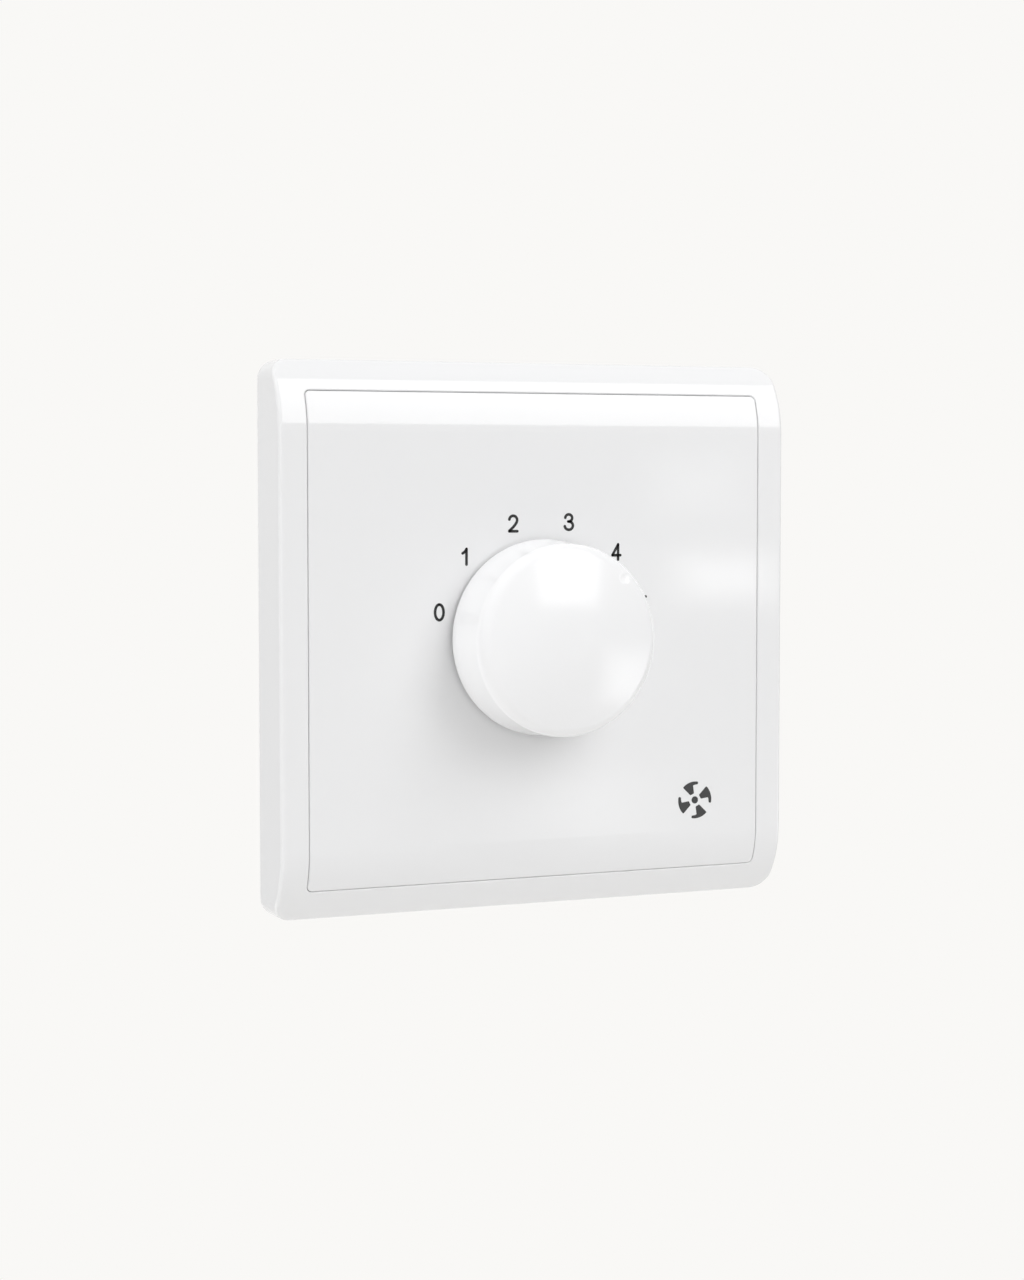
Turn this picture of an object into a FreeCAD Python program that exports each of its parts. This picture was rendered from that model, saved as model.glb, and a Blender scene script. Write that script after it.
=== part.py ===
"""Stepped fan speed control for a flush wall box, modelled piece by piece in millimetres.

Frame: X to the right and Z up as seen by someone facing the plate, Y into the wall.
The origin is on the wall plane, on the axis of the knob, midway between the two fixing screws.
The front of the plate is at negative Y and the rear housing is at positive Y, inside the wall box.
"""
import FreeCAD
import Part
import math
import os

Vector = FreeCAD.Vector
ALONG_X, ALONG_Y, ALONG_Z = Vector(1, 0, 0), Vector(0, 1, 0), Vector(0, 0, 1)
ORIGIN = Vector(0, 0, 0)

# Front plate: a square whose top and bottom roll back towards the wall
PLATE_WIDTH = 86.0
PLATE_HEIGHT = 86.0
ROLL_RADIUS = 14.0
ROLL_ANGLE = 51.8
CORNER_RADIUS = 3.0
FRONT_EDGE_RADIUS = 0.6

# Surround frame and the panel that sits flush in its window
FRAME_WALL = 1.8
RIM_SIDE = 4.48
RIM_END = 4.85
WINDOW_CORNER_RADIUS = 0.9
GROOVE_WIDTH = 0.06
GROOVE_EDGE_RADIUS = 0.22
PANEL_WALL = 2.0
PANEL_SEAT_GAP = 0.1
LEDGE_WIDTH = 1.6
LEDGE_THICKNESS = 1.2
PRY_SLOT_WIDTH = 8.0
PRY_SLOT_DEPTH = 1.2

# Snap fits: ridges inside the frame, hooked legs behind the panel
SNAP_GAP = 0.1
RIDGE_LENGTH = 10.0
RIDGE_REACH = 0.9
RIDGE_HEIGHT = 0.9
RIDGE_OFFSET_Z = 22.0
LEG_WIDTH = 8.0
LEG_THICKNESS = 1.4
LEG_OFFSET_Z = 18.0
HOOK_REACH = 0.8
HOOK_HEIGHT = 1.2
PANEL_RIB_HEIGHT = 1.5
PANEL_RIB_THICKNESS = 1.2
PANEL_RIB_END_GAP = 6.0
SHAFT_HOLE_CLEARANCE = 1.0
SHAFT_HOLE_BOSS_WALL = 1.8
SHAFT_HOLE_BOSS_HEIGHT = 1.0

# Mounting plate, a shallow tray that is screwed to the wall box
WEB_THICKNESS = 2.0
RIM_DROP = 1.5
RIM_THICKNESS = 1.6
MOUNT_SIDE_GAP = 0.4
MOUNT_END_GAP = 0.6
FIXING_SPACING = 60.3
SLOT_WIDTH = 4.2
SLOT_LENGTH = 6.4
SLOT_PAD_WALL = 2.4
PAD_TO_HOUSING = 0.4
RIDGE_NOTCH_GAP = 1.0
SCREW_BOSS_RADIUS = 3.0
SCREW_BOSS_FLOOR = 0.8

# Rear housing with two terminal wells at its foot
HOUSING_WIDTH = 51.0
HOUSING_WALL = 1.8
HOUSING_CORNER_RADIUS = 3.5
HOUSING_REAR_EDGE_RADIUS = 1.2
WELL_WALL = 1.5
EAR_RADIUS = 4.2
EAR_REACH = 3.4
EAR_THICKNESS = 2.2
EAR_OFFSET_Z = 18.0
VENT_COUNT = 6
VENT_WIDTH = 1.8
VENT_LENGTH = 20.0
VENT_PITCH = 5.0

# Screws
HOUSING_SCREW_RADIUS = 1.2
HOUSING_SCREW_LENGTH = 5.6
HOUSING_SCREW_POINT = 1.2
HOUSING_SCREW_POINT_RADIUS = 0.2
HOUSING_SCREW_HEAD_RADIUS = 2.7
HOUSING_SCREW_HEAD_HEIGHT = 1.7
HOUSING_SCREW_FIRST_TURN = 20.0
SCREW_HEAD_CROWN = 0.75
SCREW_CLEARANCE = 0.05
EAR_HOLE_CLEARANCE = 0.4
DRIVE_SLOT_WIDTH = 0.8
DRIVE_SLOT_DEPTH = 0.8

# Wire terminals: brass pillars, each with a wire bore and a clamping screw
TERMINAL_OFFSET_X = 11.5
PILLAR_WIDTH = 8.0
PILLAR_DEPTH = 8.0
PILLAR_LENGTH = 9.0
PILLAR_EDGE = 0.4
PILLAR_GAP = 0.4
PILLAR_INSET = 1.6
WIRE_BORE_RADIUS = 1.7
WIRE_BORE_FLOOR = 1.5
TERMINAL_SCREW_RADIUS = 1.6
TERMINAL_SCREW_HEAD_RADIUS = 2.6
TERMINAL_SCREW_HEAD_HEIGHT = 1.8
TERMINAL_SCREW_BACKED_OUT = 1.2
TERMINAL_SCREW_TIP_GAP = 0.3
TERMINAL_SCREW_RECESS = 0.6
LINE_SCREW_TURN = 35.0
LOAD_SCREW_TURN = 100.0
PILLAR_PIN_RADIUS = 0.5
PILLAR_PIN_OFFSET = 2.5

# Circuit board and the parts soldered to it
BOARD_THICKNESS = 1.6
BOARD_EDGE_GAP = 0.5
BOARD_SEAT_GAP = 0.1
BOARD_CORNER_CUT = 3.4
SWITCH_TO_BOARD = 1.5
PIN_CLEARANCE = 0.12
PIN_STICK_OUT = 0.9
CAPACITOR_WIDTH = 31.0
CAPACITOR_HEIGHT = 18.0
CAPACITOR_DEPTH = 11.0
CAPACITOR_EDGE = 0.8
CAPACITOR_GAP = 1.2
CAPACITOR_REAR_GAP = 0.9
CAPACITOR_FOOT_GAP = 0.3
CAPACITOR_FOOT_WIDTH = 2.0
CAPACITOR_PIN_RADIUS = 0.4
CAPACITOR_PIN_INSET = 1.75
RESISTOR_RADIUS = 1.6
RESISTOR_LENGTH = 9.0
RESISTOR_EDGE_RADIUS = 0.6
RESISTOR_TO_SWITCH = 1.2
RESISTOR_OFFSET_Z = 8.0
RESISTOR_LEAD_RADIUS = 0.35
RESISTOR_LEAD_REACH = 2.0
RESISTOR_BEND_RADIUS = 0.7
RESISTOR_LIFT = 0.3

# Dial: six positions, 0 to 5, at equal steps symmetrical about the top
STEP_ANGLE = 30.0
POSITION_COUNT = 6
REST_POSITION = 4

# Knob: a domed cap with a slightly waisted grip
KNOB_BASE_RADIUS = 15.45
KNOB_RIM_RADIUS = 14.95
KNOB_WAIST = 0.2
KNOB_GAP = 0.6
KNOB_RIM_HEIGHT = 10.8
KNOB_DOME_RISE = 2.8
KNOB_EDGE_RADIUS = 0.8
KNOB_FOOT_EDGE_RADIUS = 0.3
KNOB_WALL = 1.7
KNOB_BOSS_WALL = 2.35
KNOB_RIB_COUNT = 6
KNOB_RIB_THICKNESS = 1.1
KNOB_RIB_INSET = 2.0
KNOB_BOSS_INSET = 0.5
INDEX_EDGE_DISTANCE = 2.05
INDEX_RADIUS = 0.85
INDEX_DEPTH = 0.25

# Spindle, its bush and what holds them
SPINDLE_RADIUS = 3.0
SPINDLE_END_GAP = 0.4
SPINDLE_FLAT = 1.5
SPINDLE_FLAT_LENGTH = 7.0
SPINDLE_SQUARE = 4.0
SPINDLE_PIVOT_RADIUS = 1.5
SPINDLE_CHAMFER = 0.4
RUNNING_CLEARANCE = 0.06
KEY_CLEARANCE = 0.05
CLIP_THICKNESS = 0.35
CLIP_WIDTH = 3.0
CLIP_LENGTH = 5.5
CLIP_GAP = 0.06
CIRCLIP_THICKNESS = 0.45
CIRCLIP_RADIUS = 4.2
CIRCLIP_GROOVE_DEPTH = 0.5
CIRCLIP_GAP = 0.06
CIRCLIP_OPENING = 3.6
BUSH_RADIUS = 4.5
BUSH_PROTRUSION = 0.9
BUSH_TO_PANEL = 1.2
BUSH_HOLE_CLEARANCE = 0.15
BUSH_CHAMFER = 0.4
WASHER_THICKNESS = 0.6
WASHER_RADIUS = 7.2
WASHER_TOOTH_COUNT = 10
WASHER_TOOTH_RADIUS = 0.7
NUT_THICKNESS = 2.2
NUT_CORNER_COUNT = 6
NUT_ACROSS_FLATS = 12.0
NUT_CLEARANCE = 0.05

# Rotary switch
SWITCH_WALL = 2.2
SWITCH_CORNER_RADIUS = 2.5
SWITCH_COVER_THICKNESS = 1.6
SWITCH_FLOOR = 1.6
SWITCH_CAVITY_GAP = 1.5
RIVET_INSET = 2.6
RIVET_RADIUS = 1.1
RIVET_HEAD_RADIUS = 1.9
RIVET_HEAD_HEIGHT = 0.6
ROTOR_FRONT_GAP = 0.5
ROTOR_WHEEL_RADIUS = 8.5
ROTOR_WHEEL_THICKNESS = 3.4
ROTOR_DISC_RADIUS = 6.8
ROTOR_DISC_THICKNESS = 3.3
ROTOR_NOTCH_COUNT = 12
STOP_LUG_ANGLE = 20.0
STOP_LUG_OVERLAP = 1.0
STOP_CLEARANCE_ANGLE = 1.0
STOP_FACE_GAP = 0.3
STOP_WALL_TO_CONTACTS = 0.15
NOSE_RADIUS = 1.2
NOSE_CLEARANCE = 0.12
INDEX_SPRING_TO_WHEEL = 0.7
INDEX_SPRING_THICKNESS = 0.35
INDEX_SPRING_WIDTH = 2.6
INDEX_SPRING_SEAT_DEPTH = 0.9
CONTACT_CIRCLE_OVERHANG = 0.8
CONTACT_HEAD_RADIUS = 1.3
CONTACT_HEAD_HEIGHT = 0.35
CONTACT_PIN_RADIUS = 0.6
COMMON_RING_WIDTH = 2.2
COMMON_RING_CLEARANCE = 0.6
WIPER_THICKNESS = 0.3
WIPER_WIDTH = 3.2
WIPER_TIP_RISE = 0.1
WIPER_TIP_GAP = 0.05
WIPER_TIP_RADIUS = 0.9

# How far a cutter runs past the face that it opens, and how near counts as on a surface
CUT_PAST = 1.0
NEAR = 0.01

# Planes across the thickness, from the wall forwards
WEB_BACK = -RIM_DROP
WEB_FRONT = WEB_BACK - WEB_THICKNESS
NUT_FRONT = WEB_FRONT - WASHER_THICKNESS - NUT_THICKNESS
BUSH_END = NUT_FRONT - BUSH_PROTRUSION
PANEL_BACK = BUSH_END - BUSH_TO_PANEL
FRONT = PANEL_BACK - PANEL_WALL
LEDGE_FRONT_OFFSET = PANEL_WALL + PANEL_SEAT_GAP
LEDGE_BACK_OFFSET = LEDGE_FRONT_OFFSET + LEDGE_THICKNESS
LEDGE_BACK = FRONT + LEDGE_BACK_OFFSET
KNOB_FOOT = FRONT - KNOB_GAP
KNOB_RIM = FRONT - KNOB_RIM_HEIGHT
KNOB_APEX = KNOB_RIM - KNOB_DOME_RISE
KNOB_ROOF = KNOB_RIM + KNOB_WALL
KNOB_BORE_END = KNOB_APEX + KNOB_WALL
SPINDLE_FRONT = KNOB_BORE_END + SPINDLE_END_GAP

# Planes across the thickness, from the mounting plate backwards
COVER_BACK = WEB_BACK + SWITCH_COVER_THICKNESS
ROTOR_FRONT = COVER_BACK + ROTOR_FRONT_GAP
ROTOR_STEP = ROTOR_FRONT + ROTOR_WHEEL_THICKNESS
ROTOR_BACK = ROTOR_STEP + ROTOR_DISC_THICKNESS
WIPER_TIP = ROTOR_BACK + WIPER_THICKNESS + WIPER_TIP_RISE
CONTACT_FACE = WIPER_TIP + WIPER_TIP_GAP
SWITCH_FLOOR_FRONT = CONTACT_FACE + CONTACT_HEAD_HEIGHT
SWITCH_BACK = SWITCH_FLOOR_FRONT + SWITCH_FLOOR
BOARD_FRONT = SWITCH_BACK + SWITCH_TO_BOARD
BOARD_BACK = BOARD_FRONT + BOARD_THICKNESS
CAPACITOR_FOOT = PIN_STICK_OUT + CAPACITOR_FOOT_GAP
CAPACITOR_BACK = BOARD_BACK + CAPACITOR_FOOT + CAPACITOR_DEPTH
HOUSING_REACH = CAPACITOR_BACK + CAPACITOR_REAR_GAP + HOUSING_WALL
WELL_FLOOR_FRONT = BOARD_BACK + BOARD_SEAT_GAP
WELL_FLOOR_BACK = WELL_FLOOR_FRONT + WELL_WALL
PILLAR_BACK = WELL_FLOOR_BACK + PILLAR_DEPTH
WIRE_AXIS_Y = WELL_FLOOR_BACK + WIRE_BORE_FLOOR + WIRE_BORE_RADIUS
TERMINAL_SCREW_SEAT = PILLAR_BACK + TERMINAL_SCREW_BACKED_OUT
TERMINAL_BLOCK_REACH = TERMINAL_SCREW_SEAT + TERMINAL_SCREW_HEAD_HEIGHT + TERMINAL_SCREW_RECESS
PILOT_END = WEB_BACK + EAR_THICKNESS - HOUSING_SCREW_LENGTH - HOUSING_SCREW_POINT

# Outlines seen from the front
FLAT_HALF_HEIGHT = PLATE_HEIGHT / 2 - ROLL_RADIUS * math.sin(math.radians(ROLL_ANGLE))
WINDOW_HALF_WIDTH = PLATE_WIDTH / 2 - RIM_SIDE
WINDOW_HALF_HEIGHT = PLATE_HEIGHT / 2 - RIM_END
PANEL_HALF_WIDTH = WINDOW_HALF_WIDTH - GROOVE_WIDTH
PANEL_HALF_HEIGHT = WINDOW_HALF_HEIGHT - GROOVE_WIDTH
HOLLOW_HALF_WIDTH = PLATE_WIDTH / 2 - FRAME_WALL
HOLLOW_HALF_HEIGHT = PLATE_HEIGHT / 2 - FRAME_WALL
SHAFT_HOLE_RADIUS = BUSH_RADIUS + SHAFT_HOLE_CLEARANCE
TERMINAL_BLOCK_HEIGHT = PILLAR_INSET + PILLAR_LENGTH + PILLAR_GAP + WELL_WALL
CAPACITOR_ROOM = 2 * CAPACITOR_HEIGHT + 3 * CAPACITOR_GAP
HOUSING_HEIGHT = TERMINAL_BLOCK_HEIGHT + CAPACITOR_ROOM + 2 * HOUSING_WALL
HOUSING_TOP = HOUSING_HEIGHT / 2
HOUSING_FOOT = -HOUSING_HEIGHT / 2
BLOCK_TOP = HOUSING_FOOT + TERMINAL_BLOCK_HEIGHT
PILLAR_FOOT = HOUSING_FOOT + PILLAR_INSET
PILLAR_TOP = PILLAR_FOOT + PILLAR_LENGTH
PILLAR_MIDDLE = (PILLAR_FOOT + PILLAR_TOP) / 2

# Radii inside the switch and the knob
NOSE_CENTRE_RADIUS = ROTOR_WHEEL_RADIUS + INDEX_SPRING_TO_WHEEL
CONTACT_CIRCLE_RADIUS = ROTOR_DISC_RADIUS + CONTACT_CIRCLE_OVERHANG
STOP_WALL_RADIUS = CONTACT_CIRCLE_RADIUS + CONTACT_HEAD_RADIUS + STOP_WALL_TO_CONTACTS
STOP_LUG_RADIUS = STOP_WALL_RADIUS + STOP_LUG_OVERLAP
SWITCH_CAVITY_RADIUS = max(STOP_LUG_RADIUS, NOSE_CENTRE_RADIUS + INDEX_SPRING_THICKNESS) + SWITCH_CAVITY_GAP
SWITCH_HALF_SIZE = SWITCH_CAVITY_RADIUS + SWITCH_WALL
COMMON_RING_BORE = SPINDLE_PIVOT_RADIUS + COMMON_RING_CLEARANCE
COMMON_RING_RADIUS = COMMON_RING_BORE + COMMON_RING_WIDTH
RESISTOR_OFFSET_X = SWITCH_HALF_SIZE + RESISTOR_TO_SWITCH + RESISTOR_RADIUS
KNOB_BOSS_RADIUS = SPINDLE_RADIUS + KNOB_BOSS_WALL
KNOB_ROOM_RADIUS = min(KNOB_BASE_RADIUS, KNOB_RIM_RADIUS) - KNOB_WAIST - KNOB_WALL
INDEX_RADIAL = KNOB_RIM_RADIUS - INDEX_EDGE_DISTANCE
DOME_RADIUS = (KNOB_RIM_RADIUS ** 2 + KNOB_DOME_RISE ** 2) / (2 * KNOB_DOME_RISE)

# Clockwise angles from the top, seen from the front
FIRST_POSITION_ANGLE = -STEP_ANGLE * (POSITION_COUNT - 1) / 2
REST_ANGLE = FIRST_POSITION_ANGLE + STEP_ANGLE * REST_POSITION


def dial_point(radius, angle, y=0.0):
    """A point at a clockwise angle from the top, in degrees, as seen from the front."""
    a = math.radians(angle)
    return Vector(radius * math.sin(a), y, radius * math.cos(a))


def turned(shape, angle):
    """The shape turned clockwise about the knob's axis, as seen from the front."""
    out = shape.copy()
    out.rotate(ORIGIN, ALONG_Y, angle)
    return out


def moved(shape, x=0.0, y=0.0, z=0.0):
    out = shape.copy()
    out.translate(Vector(x, y, z))
    return out


def rod(radius, y_from, y_to, x=0.0, z=0.0):
    """A cylinder along Y."""
    return Part.makeCylinder(radius, y_to - y_from, Vector(x, y_from, z), ALONG_Y)


def ring(outer, inner, y_from, y_to):
    return rod(outer, y_from, y_to).cut(rod(inner, y_from, y_to))


def box(x_from, x_to, y_from, y_to, z_from, z_to):
    return Part.makeBox(x_to - x_from, y_to - y_from, z_to - z_from, Vector(x_from, y_from, z_from))


def runs_along(edge, axis):
    """True for a straight edge parallel to an axis."""
    straight = edge.Curve.TypeId == "Part::GeomLine"
    return straight and abs(edge.tangentAt(edge.FirstParameter).dot(axis)) > 1 - NEAR


def slab(half_width, half_height, radius, y_from, y_to, z=0.0):
    """A rectangle in X and Z with rounded corners, extruded along Y."""
    plain = box(-half_width, half_width, y_from, y_to, z - half_height, z + half_height)
    return plain.makeFillet(radius, [e for e in plain.Edges if runs_along(e, ALONG_Y)])


def joined(first, *others):
    return first.multiFuse(list(others)).removeSplitter()


def all_of(cutters):
    """Several cutters as one shape."""
    return cutters[0].multiFuse(cutters[1:])


def on_both_sides(shape):
    """A shape and its mirror image across the plate's centre line."""
    return [shape, shape.mirror(ORIGIN, ALONG_X)]


def in_all_quarters(x, z):
    return [(x, z), (-x, z), (x, -z), (-x, -z)]


def edges_where(shape, test):
    """The edges whose middle point passes a test."""
    real = [e for e in shape.Edges if not e.Degenerated]
    return [e for e in real if test(e.valueAt((e.FirstParameter + e.LastParameter) / 2))]


def front_y(z):
    """How far forward the plate's surface is at a height: flat, then an arc that rolls back."""
    past_flat = max(abs(z) - FLAT_HALF_HEIGHT, 0.0)
    return FRONT + ROLL_RADIUS - math.sqrt(max(ROLL_RADIUS ** 2 - past_flat ** 2, 0.0))


def on_front_near(point, half_width, half_height, margin):
    """True for a point of the front surface that is just inside a rectangle's outline."""
    x, z = abs(point.x), abs(point.z)
    inside = x < half_width + NEAR and z < half_height + NEAR
    near = x > half_width - margin or z > half_height - margin
    return inside and near and abs(point.y - front_y(z)) < NEAR


def roll_section(offset, half_height, y_back):
    """The plate's side view, set in by an offset: a flat front that rolls back in an arc at both ends."""
    radius = ROLL_RADIUS - offset
    centre_y = FRONT + ROLL_RADIUS
    reach = min(half_height - FLAT_HALF_HEIGHT, radius)
    end_angle = math.asin(reach / radius)

    def on_arc(angle, side):
        z = FLAT_HALF_HEIGHT + radius * math.sin(angle)
        return Vector(0, centre_y - radius * math.cos(angle), side * z)

    def roll(side):
        return Part.Arc(on_arc(0, side), on_arc(end_angle / 2, side), on_arc(end_angle, side)).toShape()

    top, foot = [Vector(0, y_back, side * (FLAT_HALF_HEIGHT + reach)) for side in (1, -1)]
    flat = Part.makeLine(on_arc(0, -1), on_arc(0, 1))
    upper_end = Part.makeLine(on_arc(end_angle, 1), top)
    back = Part.makeLine(top, foot)
    lower_end = Part.makeLine(foot, on_arc(end_angle, -1))
    return Part.Face(Part.Wire(Part.__sortEdges__([flat, roll(1), upper_end, back, lower_end, roll(-1)])))


def behind_front(offset, half_width, half_height, y_back):
    """Everything behind the rolled front surface set in by an offset, as far as y_back."""
    section = roll_section(offset, half_height, y_back)
    section.translate(Vector(-half_width, 0, 0))
    return section.extrude(Vector(2 * half_width, 0, 0))


def surround_frame():
    """Outer frame: rolled shell, open behind, with a stepped window for the panel and snap ridges inside."""
    half_width, half_height = PLATE_WIDTH / 2, PLATE_HEIGHT / 2
    body = behind_front(0.0, half_width, half_height, 0.0)
    body = body.common(slab(half_width, half_height, CORNER_RADIUS, FRONT - CUT_PAST, 0.0))
    rim = edges_where(body, lambda p: on_front_near(p, half_width, half_height, CORNER_RADIUS))
    body = body.makeFillet(FRONT_EDGE_RADIUS, rim)

    wide, high, corner = WINDOW_HALF_WIDTH, WINDOW_HALF_HEIGHT, WINDOW_CORNER_RADIUS
    window = slab(wide, high, corner, FRONT - CUT_PAST, 0.0)
    body = body.cut(window.cut(behind_front(LEDGE_FRONT_OFFSET, half_width, HOLLOW_HALF_HEIGHT, CUT_PAST)))
    brim = edges_where(body, lambda p: on_front_near(p, wide, high, corner))
    body = body.makeFillet(GROOVE_EDGE_RADIUS, brim)

    opening = slab(wide - LEDGE_WIDTH, high - LEDGE_WIDTH, corner, FRONT - CUT_PAST, CUT_PAST)
    hollow = behind_front(LEDGE_BACK_OFFSET, HOLLOW_HALF_WIDTH, HOLLOW_HALF_HEIGHT, CUT_PAST)
    hollow = hollow.common(slab(HOLLOW_HALF_WIDTH, HOLLOW_HALF_HEIGHT, CORNER_RADIUS, FRONT, CUT_PAST))
    pry_slot = box(-PRY_SLOT_WIDTH / 2, PRY_SLOT_WIDTH / 2, -PRY_SLOT_DEPTH, CUT_PAST,
                   -half_height - CUT_PAST, -HOLLOW_HALF_HEIGHT + CUT_PAST)
    return joined(body.cut(hollow).cut(opening).cut(pry_slot), *snap_ridges())


def snap_ridges():
    """Wedges on the frame's side walls that catch behind the mounting plate's web."""
    wall = HOLLOW_HALF_WIDTH
    root = wall + FRAME_WALL / 2
    front, back = WEB_BACK + SNAP_GAP, WEB_BACK + SNAP_GAP + RIDGE_HEIGHT
    outline = [Vector(root, front, 0), Vector(wall - RIDGE_REACH, front, 0), Vector(wall, back, 0),
               Vector(root, back, 0)]
    ridge = Part.Face(Part.makePolygon(outline + outline[:1])).extrude(Vector(0, 0, RIDGE_LENGTH))
    ridge = moved(ridge, z=-RIDGE_LENGTH / 2)
    return [moved(side, z=z) for side in on_both_sides(ridge) for z in (RIDGE_OFFSET_Z, -RIDGE_OFFSET_Z)]


def face_panel():
    """Panel flush with the frame: rolled skin with a shaft hole, stiffening ribs and hooked legs behind."""
    corner = WINDOW_CORNER_RADIUS - GROOVE_WIDTH
    skin = behind_front(0.0, PLATE_WIDTH / 2, PLATE_HEIGHT / 2, 0.0)
    skin = skin.cut(behind_front(PANEL_WALL, PLATE_WIDTH / 2, HOLLOW_HALF_HEIGHT, CUT_PAST))
    skin = skin.common(slab(PANEL_HALF_WIDTH, PANEL_HALF_HEIGHT, corner, FRONT - CUT_PAST, 0.0))
    rim = edges_where(skin, lambda p: on_front_near(p, PANEL_HALF_WIDTH, PANEL_HALF_HEIGHT, corner))
    skin = skin.makeFillet(GROOVE_EDGE_RADIUS, rim)
    boss_radius = SHAFT_HOLE_RADIUS + SHAFT_HOLE_BOSS_WALL
    boss = rod(boss_radius, PANEL_BACK, PANEL_BACK + SHAFT_HOLE_BOSS_HEIGHT)
    half_rib, rib_back = PANEL_RIB_THICKNESS / 2, PANEL_BACK + PANEL_RIB_HEIGHT
    rib_end = PANEL_HALF_WIDTH - PANEL_RIB_END_GAP
    rib_x = box(-rib_end, rib_end, PANEL_BACK, rib_back, -half_rib, half_rib)
    rib_z = box(-half_rib, half_rib, PANEL_BACK, rib_back, -FLAT_HALF_HEIGHT, FLAT_HALF_HEIGHT)
    ribs = rib_x.fuse(rib_z).cut(rod(boss_radius, FRONT, 0.0))
    panel = joined(skin, boss, ribs, *panel_legs())
    return panel.cut(rod(SHAFT_HOLE_RADIUS, FRONT - CUT_PAST, 0.0))


def panel_legs():
    """Legs with outward hooks that catch behind the frame's ledge, two on each side."""
    outer = WINDOW_HALF_WIDTH - LEDGE_WIDTH - SNAP_GAP
    inner = outer - LEG_THICKNESS
    root = PANEL_BACK - PANEL_WALL / 2
    catch = LEDGE_BACK + SNAP_GAP
    tip = catch + HOOK_HEIGHT
    outline = [Vector(inner, root, 0), Vector(outer, root, 0), Vector(outer, catch, 0),
               Vector(outer + HOOK_REACH, catch, 0), Vector(outer, tip, 0), Vector(inner, tip, 0)]
    leg = Part.Face(Part.makePolygon(outline + outline[:1])).extrude(Vector(0, 0, LEG_WIDTH))
    leg = moved(leg, z=-LEG_WIDTH / 2)
    return [moved(side, z=z) for side in on_both_sides(leg) for z in (LEG_OFFSET_Z, -LEG_OFFSET_Z)]


def housing_screw_places():
    return in_all_quarters(HOUSING_WIDTH / 2 + EAR_REACH, EAR_OFFSET_Z)


def mount_half_width():
    return HOLLOW_HALF_WIDTH - MOUNT_SIDE_GAP


def mount_half_height():
    """As tall as the frame's hollow is at the front of the web, less a gap."""
    radius = ROLL_RADIUS - LEDGE_BACK_OFFSET
    forward = min(FRONT + ROLL_RADIUS - WEB_FRONT, radius)
    room = FLAT_HALF_HEIGHT + math.sqrt(radius ** 2 - forward ** 2)
    return min(room, HOLLOW_HALF_HEIGHT) - MOUNT_END_GAP


def mounting_plate():
    """Shallow tray behind the frame: web, rim to the wall, slotted fixing holes and bosses for screws."""
    half_width, half_height = mount_half_width(), mount_half_height()
    outline = slab(half_width, half_height, CORNER_RADIUS, WEB_FRONT, 0.0)
    tray = slab(half_width - RIM_THICKNESS, half_height - RIM_THICKNESS, CORNER_RADIUS, WEB_BACK, CUT_PAST)
    pads = [pad.common(outline) for pad in on_both_sides(fixing_pad())]
    boss_front = PILOT_END - SCREW_BOSS_FLOOR
    bosses = [rod(SCREW_BOSS_RADIUS, boss_front, WEB_FRONT, x, z) for x, z in housing_screw_places()]
    plate = joined(outline.cut(tray), *pads, *bosses)
    slots = [moved(slot_cutter(), x=side * FIXING_SPACING / 2) for side in (-1, 1)]
    notches = [moved(side, z=z) for side in on_both_sides(ridge_notch())
               for z in (RIDGE_OFFSET_Z, -RIDGE_OFFSET_Z)]
    pilot = HOUSING_SCREW_RADIUS + SCREW_CLEARANCE
    pilots = [rod(pilot, PILOT_END, CUT_PAST, x, z) for x, z in housing_screw_places()]
    bush_hole = rod(BUSH_RADIUS + BUSH_HOLE_CLEARANCE, WEB_FRONT - CUT_PAST, CUT_PAST)
    return plate.cut(all_of(slots + notches + pilots + [bush_hole]))


def fixing_pad():
    """A pad around a fixing slot that takes the clamping load to the wall box."""
    inner = HOUSING_WIDTH / 2 + PAD_TO_HOUSING
    outer = FIXING_SPACING / 2 + SLOT_LENGTH / 2 + SLOT_PAD_WALL
    half_height = SLOT_WIDTH / 2 + SLOT_PAD_WALL
    return box(inner, outer, WEB_BACK, 0.0, -half_height, half_height)


def slot_cutter():
    half_run = (SLOT_LENGTH - SLOT_WIDTH) / 2
    front, back = WEB_FRONT - CUT_PAST, CUT_PAST
    run = box(-half_run, half_run, front, back, -SLOT_WIDTH / 2, SLOT_WIDTH / 2)
    return joined(run, *[rod(SLOT_WIDTH / 2, front, back, x) for x in (-half_run, half_run)])


def ridge_notch():
    """A gap in the tray's rim where a snap ridge comes through behind the web."""
    half_length = RIDGE_LENGTH / 2 + RIDGE_NOTCH_GAP
    edge = mount_half_width()
    return box(edge - RIM_THICKNESS, edge + CUT_PAST, WEB_BACK, CUT_PAST, -half_length, half_length)


def terminal_places():
    return (-TERMINAL_OFFSET_X, TERMINAL_OFFSET_X)


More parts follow.
